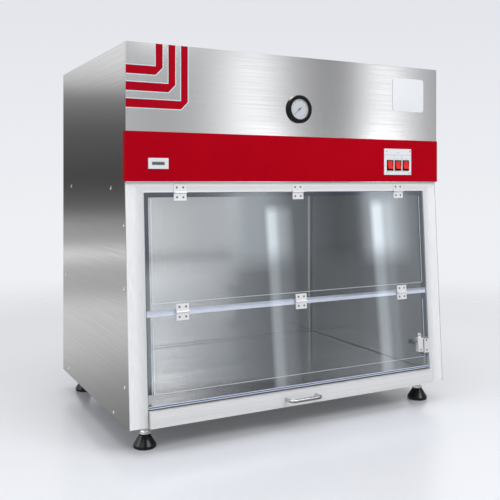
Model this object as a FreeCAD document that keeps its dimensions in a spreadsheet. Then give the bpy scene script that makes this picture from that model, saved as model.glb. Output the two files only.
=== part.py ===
"""Bench clean-air workstation: a leaning bi-fold glazed cabinet under a fan and filter head.

Millimetres. X to the right, front towards -Y, +Z up. The origin is on the floor, below the middle.
"""

import FreeCAD, Part
import Sketcher
import math
import os
from types import SimpleNamespace

V = FreeCAD.Vector

# Driving sizes
SIZES = {
    # Cabinet
    "cabinet_width": 990.0,
    "cabinet_depth": 636.0,
    "lower_height": 600.0,
    "head_height": 345.0,
    "front_reach": 280.0,
    "lean_run": 35.8,
    "head_overhang": 7.6,
    "sheet_thickness": 1.5,
    "plate_thickness": 2.0,
    "seam_gap": 0.3,
    # Door frame
    "stile_width": 48.4,
    "stile_depth": 22.0,
    "rail_height": 25.4,
    # Work chamber
    "liner_inset": 63.0,
    "back_cavity": 19.0,
    "worktop_height": 41.0,
    "worktop_apron": 6.0,
    "cove_radius": 12.0,
    "stop_gap": 0.4,
    "slot_length": 120.0,
    "slot_width": 12.0,
    "slot_columns": 5.0,
    "slot_rows": 12.0,
    "diffuser_margin": 48.0,
    # Doors
    "door_edge_gap": 1.6,
    "door_top_gap": 1.4,
    "door_bottom": 44.5,
    "joint_height": 274.0,
    "joint_half_gap": 0.8,
    "pane_thickness": 5.0,
    "pane_inset": 15.5,
    "pane_joint_inset": 24.5,
    "pane_foot_inset": 33.0,
    "seal_width": 11.0,
    "strip_height": 15.0,
    "strip_thickness": 3.0,
    "running_gap": 0.3,
    # Butt hinges
    "leaf_width": 34.5,
    "leaf_height": 20.6,
    "leaf_thickness": 1.5,
    "knuckle_radius": 2.75,
    "hinge_pin_radius": 1.5,
    "pin_clearance": 0.06,
    "hinge_axis_lift": 3.2,
    "hinge_spacing": 350.0,
    # Latch
    "latch_inset": 41.6,
    "latch_foot": 96.0,
    "latch_width": 18.0,
    "latch_height": 40.0,
    "latch_depth": 12.0,
    "latch_ear": 13.0,
    "bolt_radius": 2.5,
    "bolt_height": 30.0,
    "bolt_lift": 6.0,
    "bolt_travel": 8.0,
    "knob_radius": 9.0,
    "knob_length": 9.0,
    "keeper_gap": 5.0,
    "keeper_width": 17.0,
    "keeper_depth": 12.0,
    "keeper_clearance": 1.0,
    "notch_gap": 5.0,
    # Head
    "front_return": 3.0,
    "panel_line": 1.2,
    "band_height": 124.0,
    "band_foot": 2.0,
    "band_thickness": 2.0,
    "band_wrap": 18.0,
    "stripe_thickness": 0.4,
    "stripe_first_side": 77.4,
    "stripe_first_top": 56.7,
    "stripe_side_step": 34.0,
    "stripe_drop_step": 41.5,
    "stripe_upright": 18.5,
    "stripe_level": 21.3,
    "stripe_chamfer": 19.0,
    "blank_plate_inset": 111.0,
    "blank_plate_drop": 84.0,
    "blank_plate_width": 117.0,
    "blank_plate_height": 99.0,
    "blank_plate_radius": 9.0,
    "blank_plate_thickness": 1.2,
    "intake_length": 150.0,
    "intake_width": 10.0,
    "intake_count": 9.0,
    "intake_pitch": 24.0,
    # Pressure gauge
    "gauge_rise": 201.0,
    "gauge_radius": 38.5,
    "gauge_stand": 8.0,
    "gauge_window": 28.2,
    "gauge_recess": 5.5,
    "gauge_body_radius": 33.0,
    "gauge_body_depth": 42.0,
    "seat_clearance": 0.06,
    "dial_thickness": 1.0,
    "lens_thickness": 1.2,
    "needle_length": 23.0,
    "needle_tail": 9.0,
    "needle_width": 1.6,
    "needle_thickness": 0.6,
    "needle_hub": 3.0,
    "needle_pin": 1.0,
    "needle_rest": 222.0,
    # Hour meter
    "meter_inset": 83.4,
    "meter_rise": 46.8,
    "meter_width": 53.0,
    "meter_height": 27.0,
    "meter_window_side": 9.0,
    "meter_window_end": 9.0,
    "meter_stand": 3.0,
    "meter_body": 30.0,
    # Switches
    "switch_inset": 152.2,
    "switch_plate_rise": 60.8,
    "switch_plate_width": 101.0,
    "switch_plate_height": 77.0,
    "switch_plate_thickness": 1.5,
    "switch_rise": 50.3,
    "switch_pitch": 29.5,
    "bezel_width": 22.7,
    "bezel_height": 30.8,
    "bezel_stand": 2.4,
    "bezel_wall": 2.2,
    "bezel_body": 18.0,
    "rocker_gap": 0.45,
    "rocker_pivot_depth": 6.0,
    "rocker_pin": 1.5,
    "rocker_tilt": 9.0,
    # Side cowl and mains inlet
    "cowl_foot": 38.0,
    "cowl_peak": 126.0,
    "cowl_top": 143.0,
    "cowl_reach": 15.0,
    "cowl_start": 4.0,
    "cowl_length": 90.0,
    "cowl_lip": 12.0,
    "cowl_wall": 2.4,
    "inlet_inset": 95.0,
    "inlet_rise": 60.0,
    "inlet_width": 50.0,
    "inlet_height": 31.0,
    "inlet_stand": 3.0,
    "inlet_body": 22.0,
    # Filter, fan and lamps
    "filter_height": 69.0,
    "filter_wall": 15.0,
    "filter_margin": 4.0,
    "pleat_pitch": 20.0,
    "media_thickness": 3.0,
    "fan_deck_rise": 236.0,
    "throat_radius": 84.0,
    "throat_lip": 16.0,
    "throat_depth": 22.0,
    "impeller_radius": 112.0,
    "impeller_height": 78.0,
    "impeller_gap": 6.0,
    "impeller_hub": 34.0,
    "hub_height": 20.4,
    "hub_taper": 6.8,
    "shroud_drop": 19.5,
    "blade_start": 45.9,
    "blade_sweep": 48.0,
    "blade_lead": 12.0,
    "blade_count": 9.0,
    "blade_thickness": 2.0,
    "shaft_radius": 8.0,
    "shaft_clearance": 0.08,
    "shaft_length": 23.8,
    "motor_radius": 30.0,
    "motor_height": 34.0,
    "bridge_width": 60.0,
    "prefilter_height": 20.0,
    "prefilter_margin": 40.0,
    "lamp_radius": 13.0,
    "lamp_inset": 42.0,
    "lamp_drop": 24.0,
    "lamp_front": 60.0,
    "lamp_back": 40.0,
    "holder_depth": 32.0,
    "ballast_length": 180.0,
    "ballast_width": 60.0,
    "ballast_height": 36.0,
    # Tray below the worktop
    "bearer_inset": 69.0,
    "bearer_height": 37.5,
    "runner_reach": 12.0,
    "runner_height": 4.0,
    "tray_side_gap": 1.0,
    "tray_height": 28.0,
    "tray_depth": 540.0,
    "tray_front_proud": 12.0,
    "tray_front_height": 39.0,
    "tray_front_gap": 2.0,
    "tray_front_foot": 0.6,
    "tray_front_back": 9.0,
    "tray_lip": 6.0,
    "handle_side": -16.0,
    "handle_length": 104.0,
    "handle_reach": 35.0,
    "handle_rod": 5.0,
    "handle_bend": 11.0,
    # Levelling feet
    "foot_height": 61.0,
    "foot_side_inset": 57.0,
    "foot_front_inset": 50.0,
    "foot_back_inset": 50.0,
    "foot_radius": 29.2,
    "foot_skirt": 8.0,
    "foot_cone_height": 31.0,
    "foot_neck_radius": 14.8,
    "foot_neck_height": 36.0,
    "foot_collar_radius": 14.0,
    "foot_collar_height": 40.0,
    "foot_nut_flats": 19.0,
    "foot_nut_height": 8.0,
    "foot_stem_radius": 6.0,
    "foot_stem_above": 26.0,
    "foot_stem_clearance": 0.08,
}


class Size:
    """A cell of the sheet, or a formula of cells, with the number that it has now."""

    def __init__(self, text, value):
        self.text = text
        self.value = value

    def __add__(self, other):
        return combine(self, "+", other)

    def __radd__(self, other):
        return combine(other, "+", self)

    def __sub__(self, other):
        return combine(self, "-", other)

    def __rsub__(self, other):
        return combine(other, "-", self)

    def __mul__(self, other):
        return combine(self, "*", other)

    def __rmul__(self, other):
        return combine(other, "*", self)

    def __truediv__(self, other):
        return combine(self, "/", other)

    def __neg__(self):
        return combine(-1, "*", self)


def as_size(item):
    return item if isinstance(item, Size) else Size(repr(float(item)), float(item))


def combine(left, sign, right):
    one, two = as_size(left), as_size(right)
    results = {
        "+": lambda: one.value + two.value,
        "-": lambda: one.value - two.value,
        "*": lambda: one.value * two.value,
        "/": lambda: one.value / two.value,
    }
    return Size("(%s %s %s)" % (one.text, sign, two.text), results[sign]())


def sine(angle):
    return Size("sin(%s)" % angle.text, math.sin(math.radians(angle.value)))


def cosine(angle):
    return Size("cos(%s)" % angle.text, math.cos(math.radians(angle.value)))


doc = FreeCAD.newDocument("workstation")
sheet = doc.addObject("Spreadsheet::Sheet", "sizes")
for line, (alias, number) in enumerate(SIZES.items(), start=1):
    sheet.set("A%d" % line, alias)
    sheet.set("B%d" % line, repr(number))
    sheet.setAlias("B%d" % line, alias)
doc.recompute()
S = SimpleNamespace(**{alias: Size("sizes." + alias, sheet.get(alias)) for alias in SIZES})
NODES = {}

# Places that follow from the driving sizes
HALF_WIDTH = S.cabinet_width / 2
FRONT = -S.front_reach
BACK = FRONT + S.cabinet_depth
FLOOR = S.foot_height
DECK = FLOOR + S.lower_height
TOP = DECK + S.head_height
SHEET = S.sheet_thickness
LEAN = Size("atan(%s)" % (S.lean_run / S.lower_height).text,
            math.degrees(math.atan(S.lean_run.value / S.lower_height.value)))
RIGHT_ANGLE = Size("90 deg", 90.0)
LEAN_FRAME = RIGHT_ANGLE - LEAN
SLOPE = S.lower_height / cosine(LEAN)
LOWER_FRONT = FRONT + S.head_overhang - S.lean_run
LINER_SIDE = HALF_WIDTH - S.liner_inset
LINER_BACK = BACK - S.back_cavity
WORKTOP = FLOOR + S.worktop_height
STILE_INNER = HALF_WIDTH - S.stile_width
DOOR_HALF = STILE_INNER - S.door_edge_gap
DOOR_THICKNESS = S.pane_thickness * 2
RAIL_LOW = SLOPE - S.rail_height
DOOR_TOP = RAIL_LOW - S.door_top_gap


# Building blocks
def bind(item, path, value):
    value = as_size(value)
    item.setExpression(path, value.text)


def place(item, frame, spot):
    """Stand an object in a frame: flat, front (y up, z forward), side (x back, y up) or door."""
    across, up, out = (as_size(part) for part in spot)
    turns = {
        "flat": (V(0, 0, 1), as_size(0)),
        "front": (V(1, 0, 0), RIGHT_ANGLE),
        "side": (V(1, 1, 1), Size("120 deg", 120.0)),
        "door": (V(1, 0, 0), LEAN_FRAME),
    }
    axis, angle = turns[frame]
    if frame == "door":
        depth = LOWER_FRONT + up * sine(LEAN) - out * cosine(LEAN)
        height = FLOOR + up * cosine(LEAN) + out * sine(LEAN)
        spot = (across, depth, height)
    item.Placement = FreeCAD.Placement(V(0, 0, 0), FreeCAD.Rotation(axis, angle.value))
    for letter, value in zip("xyz", spot):
        bind(item, "Placement.Base.%s" % letter, value)
    if frame in ("front", "door"):
        bind(item, "Placement.Rotation.Angle", angle)


def box(label, low, high, frame="flat"):
    """A block between two corners, in the flat or the leaning frame."""
    item = doc.addObject("Part::Box", label)
    for prop, one, two in zip(("Length", "Width", "Height"), low, high):
        bind(item, prop, as_size(two) - one)
    place(item, frame, low)
    return item


def rod(label, centre, radius, length):
    """An upright cylinder from the centre of its lower end."""
    item = doc.addObject("Part::Cylinder", label)
    bind(item, "Radius", radius)
    bind(item, "Height", length)
    place(item, "flat", centre)
    return item


def cut(label, base, tools):
    for number, tool in enumerate(tools):
        result = doc.addObject("Part::Cut", "%s_cut_%d" % (label, number))
        result.Base = base
        result.Tool = tool
        base = result
    return base


def fuse(label, items):
    result = doc.addObject("Part::MultiFuse", label + "_whole")
    result.Shapes = items
    return result


def group(label, items):
    result = doc.addObject("Part::Compound", label + "_set")
    result.Links = items
    return result


def node(label, item):
    item.Label = label
    NODES[label] = item
    return item


def new_body(label, frame="flat", spot=(0, 0, 0)):
    body = doc.addObject("PartDesign::Body", label)
    place(body, frame, spot)
    return body


def new_sketch(body, label, plane="XY_Plane"):
    drawing = body.newObject("Sketcher::SketchObject", label)
    support = [part for part in body.Origin.OriginFeatures if part.Role == plane][0]
    drawing.AttachmentSupport = (support, [""])
    drawing.MapMode = "FlatFace"
    return drawing


def pin_point(drawing, geometry, end, spot):
    """Hold one end of a line or a centre at a place that follows the sheet."""
    for kind, value in zip(("DistanceX", "DistanceY"), spot):
        value = as_size(value)
        mark = drawing.addConstraint(Sketcher.Constraint(kind, -1, 1, geometry, end, value.value))
        drawing.setExpression("Constraints[%d]" % mark, value.text)


def outline(body, label, points, plane="XY_Plane"):
    """A closed outline of straight lines through points that follow the sheet."""
    drawing = new_sketch(body, label, plane)
    spots = [V(as_size(one).value, as_size(two).value, 0) for one, two in points]
    for here, there in zip(spots, spots[1:] + spots[:1]):
        drawing.addGeometry(Part.LineSegment(here, there), False)
    count = len(points)
    for number in range(count):
        drawing.addConstraint(Sketcher.Constraint("Coincident", number, 2, (number + 1) % count, 1))
    for number, spot in enumerate(points):
        pin_point(drawing, number, 1, spot)
    return drawing


def rectangle(body, label, low, high, plane="XY_Plane"):
    corners = [low, (high[0], low[1]), high, (low[0], high[1])]
    return outline(body, label, corners, plane)


def circle(body, label, centre, radius, plane="XY_Plane"):
    drawing = new_sketch(body, label, plane)
    middle = V(as_size(centre[0]).value, as_size(centre[1]).value, 0)
    drawing.addGeometry(Part.Circle(middle, V(0, 0, 1), as_size(radius).value), False)
    pin_point(drawing, 0, 3, centre)
    mark = drawing.addConstraint(Sketcher.Constraint("Radius", 0, as_size(radius).value))
    drawing.setExpression("Constraints[%d]" % mark, as_size(radius).text)
    return drawing


def pad(body, drawing, length, start=0):
    """Material from the sketch's plane, moved by start along its normal, for a length."""
    drawing.setExpression("AttachmentOffset.Base.z", as_size(start).text)
    feature = body.newObject("PartDesign::Pad", drawing.Name + "_pad")
    feature.Profile = drawing
    bind(feature, "Length", length)
    return feature


def pocket(body, drawing, length, start=0):
    """Cut from the sketch's plane, moved by start, against its normal for a length."""
    drawing.setExpression("AttachmentOffset.Base.z", as_size(start).text)
    feature = body.newObject("PartDesign::Pocket", drawing.Name + "_pocket")
    feature.Profile = drawing
    bind(feature, "Length", length)
    return feature


def revolve(body, drawing, axis="Z_Axis"):
    feature = body.newObject("PartDesign::Revolution", drawing.Name + "_turn")
    feature.Profile = drawing
    line = [part for part in body.Origin.OriginFeatures if part.Role == axis][0]
    feature.ReferenceAxis = (line, [""])
    feature.Angle = 360.0
    return feature


def is_along(edge, letter):
    span = edge.BoundBox
    sizes = {"x": span.XLength, "y": span.YLength, "z": span.ZLength}
    return all(sizes[other] < 1e-6 for other in sizes if other != letter) and sizes[letter] > 1e-6


def round_edges(body, label, wanted, radius):
    """Round the edges of a body's last feature that the test picks."""
    last = body.Tip
    names = ["Edge%d" % number for number, edge in enumerate(last.Shape.Edges, start=1) if wanted(edge)]
    feature = body.newObject("PartDesign::Fillet", label)
    feature.Base = (last, names)
    bind(feature, "Radius", radius)
    return feature


def own_shape(label, shape):
    item = doc.addObject("Part::Feature", label)
    item.Shape = shape
    return item


def lean_line(height, out=0):
    """Depth of the leaning front plane, moved out by a distance, at a height above the floor line."""
    return LOWER_FRONT + as_size(height) * S.lean_run / S.lower_height - as_size(out) / cosine(LEAN)


# Lower cabinet: outer sheets
def side_panel(name, sign):
    """Outer side sheet: leaning front edge, with a rear flange turned inwards."""
    outer = HALF_WIDTH * sign
    start = outer - SHEET if sign > 0 else outer
    body = new_body(name, "side")
    drawing = outline(body, name + "_outline", [
        (LOWER_FRONT, FLOOR), (BACK, FLOOR), (BACK, DECK), (FRONT + S.head_overhang, DECK)])
    pad(body, drawing, SHEET, start)
    flange = S.back_cavity
    inner = HALF_WIDTH - flange
    strip = rectangle(body, name + "_flange", (BACK - SHEET * 2, FLOOR + SHEET),
                      (BACK - SHEET, DECK - SHEET))
    pad(body, strip, flange - SHEET / 2, inner if sign > 0 else -HALF_WIDTH + SHEET / 2)
    node(name, body)


side_panel("side_panel_left", -1)
side_panel("side_panel_right", 1)
node("back_panel", box("back_panel", (SHEET - HALF_WIDTH, BACK - SHEET, FLOOR),
                       (HALF_WIDTH - SHEET, BACK, DECK)))


# Feet: places used by the base pan, the bearers and the feet themselves
FOOT_SIDE = HALF_WIDTH - S.foot_side_inset
FOOT_FRONT = LOWER_FRONT + S.foot_front_inset
FOOT_BACK = BACK - S.foot_back_inset
FOOT_SPOTS = {
    "front_left": (-FOOT_SIDE, FOOT_FRONT),
    "front_right": (FOOT_SIDE, FOOT_FRONT),
    "back_left": (-FOOT_SIDE, FOOT_BACK),
    "back_right": (FOOT_SIDE, FOOT_BACK),
}
STEM_HOLE = S.foot_stem_radius + S.foot_stem_clearance
BASE_FRONT = LOWER_FRONT + S.stile_depth + S.plate_thickness * 2


def stem_holes(label, sides):
    return [rod("%s_%s_hole" % (label, name), (spot[0], spot[1], FLOOR - SHEET), STEM_HOLE,
                S.bearer_height / 3) for name, spot in FOOT_SPOTS.items() if name.endswith(sides)]


pan = box("base_pan_sheet", (SHEET - HALF_WIDTH, BASE_FRONT, FLOOR),
          (HALF_WIDTH - SHEET, BACK - SHEET * 2, FLOOR + SHEET))
node("base_pan", cut("base_pan", pan, stem_holes("base_pan", ("left", "right"))))

BEARER_INNER = HALF_WIDTH - S.bearer_inset
BEARER_LOW = FLOOR + SHEET
BEARER_TOP = WORKTOP - SHEET


def bearer(name, sign):
    """Folded channel along the base: carries the worktop, the foot nuts and the tray's runner."""
    outer = HALF_WIDTH - SHEET
    wall = S.plate_thickness
    runner_low = FLOOR + S.runner_height - SHEET
    runner_top = FLOOR + S.runner_height
    body = new_body(name, "front", (0, BACK - SHEET * 3, 0))
    shape = [
        (outer, BEARER_LOW), (BEARER_INNER, BEARER_LOW), (BEARER_INNER, runner_low),
        (BEARER_INNER - S.runner_reach, runner_low), (BEARER_INNER - S.runner_reach, runner_top),
        (BEARER_INNER, runner_top), (BEARER_INNER, BEARER_TOP), (outer, BEARER_TOP),
        (outer, BEARER_TOP - wall), (BEARER_INNER + wall, BEARER_TOP - wall),
        (BEARER_INNER + wall, BEARER_LOW + wall), (outer, BEARER_LOW + wall)]
    shape = [(across * sign, up) for across, up in shape]
    pad(body, outline(body, name + "_section", shape), BACK - SHEET * 3 - BASE_FRONT)
    node(name, cut(name, body, stem_holes(name, name.split("_")[1])))


bearer("bearer_left", -1)
bearer("bearer_right", 1)


# Door frame: two stiles and a mitred top rail, folded channels in the leaning plane
def frame_member(name, points, hollow):
    body = new_body(name, "door")
    pad(body, outline(body, name + "_face", points), S.stile_depth, -S.stile_depth)
    pocket(body, outline(body, name + "_hollow", hollow), S.stile_depth - SHEET, -SHEET)
    return body


def stile(name, sign):
    outer = HALF_WIDTH - SHEET
    points = [(outer, SHEET), (outer, SLOPE), (STILE_INNER, RAIL_LOW), (STILE_INNER, SHEET)]
    hollow = [(outer - SHEET, SHEET * 2), (outer - SHEET, RAIL_LOW - SHEET),
              (STILE_INNER + SHEET, RAIL_LOW - SHEET), (STILE_INNER + SHEET, SHEET * 2)]
    return frame_member(name, [(x * sign, y) for x, y in points], [(x * sign, y) for x, y in hollow])


node("stile_left", stile("stile_left", -1))
node("stile_right", stile("stile_right", 1))
RAIL_END = HALF_WIDTH - SHEET
node("top_rail", frame_member(
    "top_rail",
    [(-RAIL_END, SLOPE), (RAIL_END, SLOPE), (STILE_INNER, RAIL_LOW), (-STILE_INNER, RAIL_LOW)],
    [(SHEET - STILE_INNER, SLOPE - SHEET), (STILE_INNER - SHEET, SLOPE - SHEET),
     (STILE_INNER - SHEET, RAIL_LOW + SHEET), (SHEET - STILE_INNER, RAIL_LOW + SHEET)]))


# Work chamber: one folded liner of two sides and a back, with coved back corners
STOP_OUT = -(DOOR_THICKNESS + S.stop_gap)
LINER_LOW = WORKTOP
LINER_TOP = DECK - SHEET


def liner():
    """U-shaped sheet, open at the front, whose front edges turn outwards behind the doors."""
    side = LINER_SIDE.value
    back = LINER_BACK.value
    cove = S.cove_radius.value
    wall = SHEET.value
    low, top = LINER_LOW.value, LINER_TOP.value
    front_low = lean_line(LINER_LOW - FLOOR, STOP_OUT).value
    front_top = lean_line(LINER_TOP - FLOOR, STOP_OUT).value
    front = min(front_low, front_top) - cove

    def shell(grow):
        path = Part.Wire([
            Part.LineSegment(V(-side - grow, front, 0), V(-side - grow, back - cove, 0)).toShape(),
            Part.Arc(V(-side - grow, back - cove, 0),
                     V(-side - grow + (cove + grow) * (1 - math.sqrt(0.5)),
                       back + grow - (cove + grow) * (1 - math.sqrt(0.5)), 0),
                     V(-side + cove, back + grow, 0)).toShape(),
            Part.LineSegment(V(-side + cove, back + grow, 0), V(side - cove, back + grow, 0)).toShape(),
            Part.Arc(V(side - cove, back + grow, 0),
                     V(side + grow - (cove + grow) * (1 - math.sqrt(0.5)),
                       back + grow - (cove + grow) * (1 - math.sqrt(0.5)), 0),
                     V(side + grow, back - cove, 0)).toShape(),
            Part.LineSegment(V(side + grow, back - cove, 0), V(side + grow, front, 0)).toShape(),
            Part.LineSegment(V(side + grow, front, 0), V(-side - grow, front, 0)).toShape(),
        ])
        return Part.Face(path).extrude(V(0, 0, top - low))

    walls = shell(wall).cut(shell(0))
    walls.translate(V(0, 0, low))
    slant = math.tan(math.radians(LEAN.value))

    def behind(depth):
        """Wedge of everything behind the leaning plane, a depth further back."""
        far = back + cove * 2
        points = [V(0, front_low + depth, low), V(0, far, low), V(0, far, top),
                  V(0, front_top + depth, top)]
        return Part.Face(Part.makePolygon(points + points[:1]))

    span = STILE_INNER.value
    walls = walls.common(behind(0).extrude(V(span * 2, 0, 0)).translate(V(-span, 0, 0)))
    strip = [V(0, front_low, low), V(0, front_low + wall, low), V(0, front_top + wall, top),
             V(0, front_top, top)]
    rail = Part.makeBox(span * 2, S.rail_height.value * 2, S.stile_depth.value,
                        V(-span, RAIL_LOW.value, -S.stile_depth.value))
    rail.Placement = FreeCAD.Placement(
        V(0, LOWER_FRONT.value, FLOOR.value), FreeCAD.Rotation(V(1, 0, 0), LEAN_FRAME.value))
    flange = Part.Face(Part.makePolygon(strip + strip[:1])).extrude(V(span - side, 0, 0))
    left = flange.copy()
    left.translate(V(-span, 0, 0))
    right = flange.copy()
    right.translate(V(side, 0, 0))
    return walls.fuse([left, right]).cut(rail).removeSplitter()


node("chamber_liner", own_shape("chamber_liner", liner()))

TOP_FRONT = FRONT + S.head_overhang + S.stile_depth + SHEET
worktop = new_body("work_surface_sheet", "flat")
worktop_front = lean_line(S.worktop_height - S.worktop_apron, STOP_OUT)
pad(worktop, rectangle(worktop, "worktop_face", (-LINER_SIDE - SHEET, worktop_front),
                       (LINER_SIDE + SHEET, LINER_BACK + SHEET)), SHEET, WORKTOP - SHEET)
pad(worktop, rectangle(worktop, "worktop_apron_face", (-LINER_SIDE, worktop_front),
                       (LINER_SIDE, worktop_front + SHEET)), S.worktop_apron, WORKTOP - S.worktop_apron)
node("work_surface", worktop)


# Slotted diffuser under the filter
def diffuser():
    sheet_body = new_body("diffuser_sheet", "flat")
    pad(sheet_body, rectangle(sheet_body, "diffuser_face", (-LINER_SIDE - SHEET, TOP_FRONT),
                              (LINER_SIDE + SHEET, LINER_BACK + SHEET)), SHEET, DECK - SHEET)
    columns, rows = S.slot_columns, S.slot_rows
    first_x = -LINER_SIDE + S.diffuser_margin
    first_y = TOP_FRONT + S.diffuser_margin
    slot = rectangle(sheet_body, "diffuser_slot", (first_x, first_y),
                     (first_x + S.slot_length, first_y + S.slot_width))
    first = pocket(sheet_body, slot, SHEET * 2, DECK)
    doc.recompute()
    across = (LINER_SIDE - S.diffuser_margin) * 2 - S.slot_length
    along = LINER_BACK - TOP_FRONT - S.diffuser_margin * 2 - S.slot_width
    row = sheet_body.newObject("PartDesign::MultiTransform", "diffuser_slots")
    row.Originals = [first]
    steps = []
    for axis, count, span in (("H_Axis", columns, across), ("V_Axis", rows, along)):
        step = sheet_body.newObject("PartDesign::LinearPattern", "diffuser_" + axis.lower())
        step.Direction = (slot, [axis])
        bind(step, "Length", span)
        bind(step, "Occurrences", count)
        steps.append(step)
    row.Transformations = steps
    sheet_body.Tip = row
    return sheet_body


node("diffuser", diffuser())


# Butt hinges: leaves with interleaved knuckles round one pin
HINGE_PLACES = [("left", -S.hinge_spacing), ("middle", as_size(0)), ("right", S.hinge_spacing)]
TOP_AXIS = RAIL_LOW - S.door_top_gap / 2
MID_AXIS = S.joint_height / cosine(LEAN)
KNUCKLES = 5


def hinge_leaf(label, across, axis_up, side, with_pin):
    """One leaf above (side 1) or below (side -1) the axis; the one with the pin has the outer knuckles."""
    left = across - S.leaf_width / 2
    low = axis_up if side > 0 else axis_up - S.leaf_height
    edge = S.knuckle_radius + S.running_gap
    plate_low = axis_up + edge if side > 0 else low
    plate_high = axis_up + S.leaf_height if side > 0 else axis_up - edge
    plate = box(label + "_plate", (left, plate_low, 0),
                (left + S.leaf_width, plate_high, S.leaf_thickness), "door")
    pitch = S.leaf_width / KNUCKLES
    gap = S.running_gap / 2
    pieces = [plate]
    bores = []
    for number in range(KNUCKLES):
        own = (number % 2 == 0) == with_pin
        if not own:
            continue
        start = left + pitch * number + (0 if number == 0 else gap)
        length = pitch - (0 if number == 0 else gap) - (0 if number == KNUCKLES - 1 else gap)
        barrel = doc.addObject("Part::Cylinder", "%s_knuckle_%d" % (label, number))
        bind(barrel, "Radius", S.knuckle_radius)
        bind(barrel, "Height", length)
        lay_across(barrel, (start, axis_up, S.hinge_axis_lift))
        web_low = axis_up if side > 0 else plate_high
        web_high = plate_low if side > 0 else axis_up
        web = box("%s_web_%d" % (label, number), (start, web_low, S.hinge_axis_lift - S.knuckle_radius),
                  (start + length, web_high, S.leaf_thickness), "door")
        pieces += [barrel, web]
    whole = fuse(label, pieces)
    radius = S.hinge_pin_radius if with_pin else S.hinge_pin_radius + S.pin_clearance
    pin = doc.addObject("Part::Cylinder", label + "_pin")
    bind(pin, "Radius", radius)
    bind(pin, "Height", S.leaf_width)
    lay_across(pin, (left, axis_up, S.hinge_axis_lift))
    if with_pin:
        return fuse(label + "_pinned", [whole, pin])
    return cut(label + "_bored", whole, [pin])


def lay_across(item, spot):
    """Turn a cylinder to lie along X at a place given in the leaning frame."""
    across, up, out = (as_size(part) for part in spot)
    item.Placement = FreeCAD.Placement(V(0, 0, 0), FreeCAD.Rotation(V(0, 1, 0), 90))
    bind(item, "Placement.Base.x", across)
    bind(item, "Placement.Base.y", LOWER_FRONT + up * sine(LEAN) - out * cosine(LEAN))
    bind(item, "Placement.Base.z", FLOOR + up * cosine(LEAN) + out * sine(LEAN))


def leaves(label, axis_up, side, with_pin):
    return [hinge_leaf("%s_%s" % (label, name), across, axis_up, side, with_pin)
            for name, across in HINGE_PLACES]


node("rail_hinge_leaves", group("rail_hinge_leaves", leaves("rail_leaf", TOP_AXIS, 1, True)))
node("upper_hinge_leaves", group(
    "upper_hinge_leaves",
    leaves("hung_leaf", TOP_AXIS, -1, False) + leaves("joint_leaf", MID_AXIS, 1, True)))
node("lower_hinge_leaves", group("lower_hinge_leaves", leaves("swing_leaf", MID_AXIS, -1, False)))


# Doors: stepped clear panes, a dark seal in the step and a strip over the joint
UPPER_LOW = MID_AXIS + S.joint_half_gap
LOWER_TOP = MID_AXIS - S.joint_half_gap
LOWER_LOW = S.door_bottom / cosine(LEAN)
REAR_HALF = DOOR_HALF - S.pane_inset
UPPER_REAR_LOW = MID_AXIS + S.pane_joint_inset
UPPER_REAR_TOP = DOOR_TOP - S.pane_inset
LOWER_REAR_TOP = MID_AXIS - S.pane_joint_inset
LOWER_REAR_LOW = LOWER_LOW + S.pane_foot_inset
SEAL_IN = DOOR_HALF - S.seal_width
SEAL_BACK = -DOOR_THICKNESS
STRIP_HALF = S.strip_height / 2


def stepped_pane(name, face, step):
    """A clear sheet with a smaller one bonded behind it."""
    body = new_body(name, "door")
    pad(body, rectangle(body, name + "_face", *face), S.pane_thickness, -S.pane_thickness)
    pad(body, rectangle(body, name + "_step", *step), S.pane_thickness, -S.pane_thickness * 2)
    return body


node("upper_pane", stepped_pane(
    "upper_pane", ((-DOOR_HALF, UPPER_LOW), (DOOR_HALF, DOOR_TOP)),
    ((-REAR_HALF, UPPER_REAR_LOW), (REAR_HALF, UPPER_REAR_TOP))))


def seal(name, points):
    body = new_body(name, "door")
    pad(body, outline(body, name + "_band", points), S.pane_thickness, SEAL_BACK)
    return body


SEAL_JOINT_LOW = MID_AXIS + STRIP_HALF + S.running_gap
node("upper_seal", seal("upper_seal", [
    (-DOOR_HALF, SEAL_JOINT_LOW), (-DOOR_HALF, DOOR_TOP), (DOOR_HALF, DOOR_TOP), (DOOR_HALF, SEAL_JOINT_LOW),
    (SEAL_IN, SEAL_JOINT_LOW), (SEAL_IN, DOOR_TOP - S.seal_width),
    (-SEAL_IN, DOOR_TOP - S.seal_width), (-SEAL_IN, SEAL_JOINT_LOW)]))
node("joint_strip", box(
    "joint_strip", (-DOOR_HALF, MID_AXIS - STRIP_HALF, -S.pane_thickness - S.strip_thickness),
    (DOOR_HALF, MID_AXIS + STRIP_HALF, -S.pane_thickness), "door"))

LATCH_LOW = S.latch_foot
LATCH_MIDDLE = STILE_INNER - S.latch_inset
LATCH_LEFT = LATCH_MIDDLE - S.latch_width / 2
LATCH_RIGHT = LATCH_MIDDLE + S.latch_width / 2
KEEPER_LEFT = LATCH_RIGHT + S.keeper_gap
KEEPER_RIGHT = KEEPER_LEFT + S.keeper_width
KEEPER_LOW = LATCH_LOW - S.notch_gap
KEEPER_HIGH = LATCH_LOW + S.latch_height - S.notch_gap
notch = [(KEEPER_LEFT - S.notch_gap, KEEPER_LOW - S.notch_gap, -S.stile_depth),
         (HALF_WIDTH, KEEPER_HIGH + S.notch_gap, S.stile_depth)]

lower_face = stepped_pane(
    "lower_pane_sheets", ((-DOOR_HALF, LOWER_LOW), (DOOR_HALF, LOWER_TOP)),
    ((-REAR_HALF, LOWER_REAR_LOW), (REAR_HALF, LOWER_REAR_TOP)))
node("lower_pane", cut("lower_pane", lower_face, [box("lower_pane_notch", *notch, "door")]))
SEAL_JOINT_TOP = MID_AXIS - STRIP_HALF - S.running_gap * 2


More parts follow.
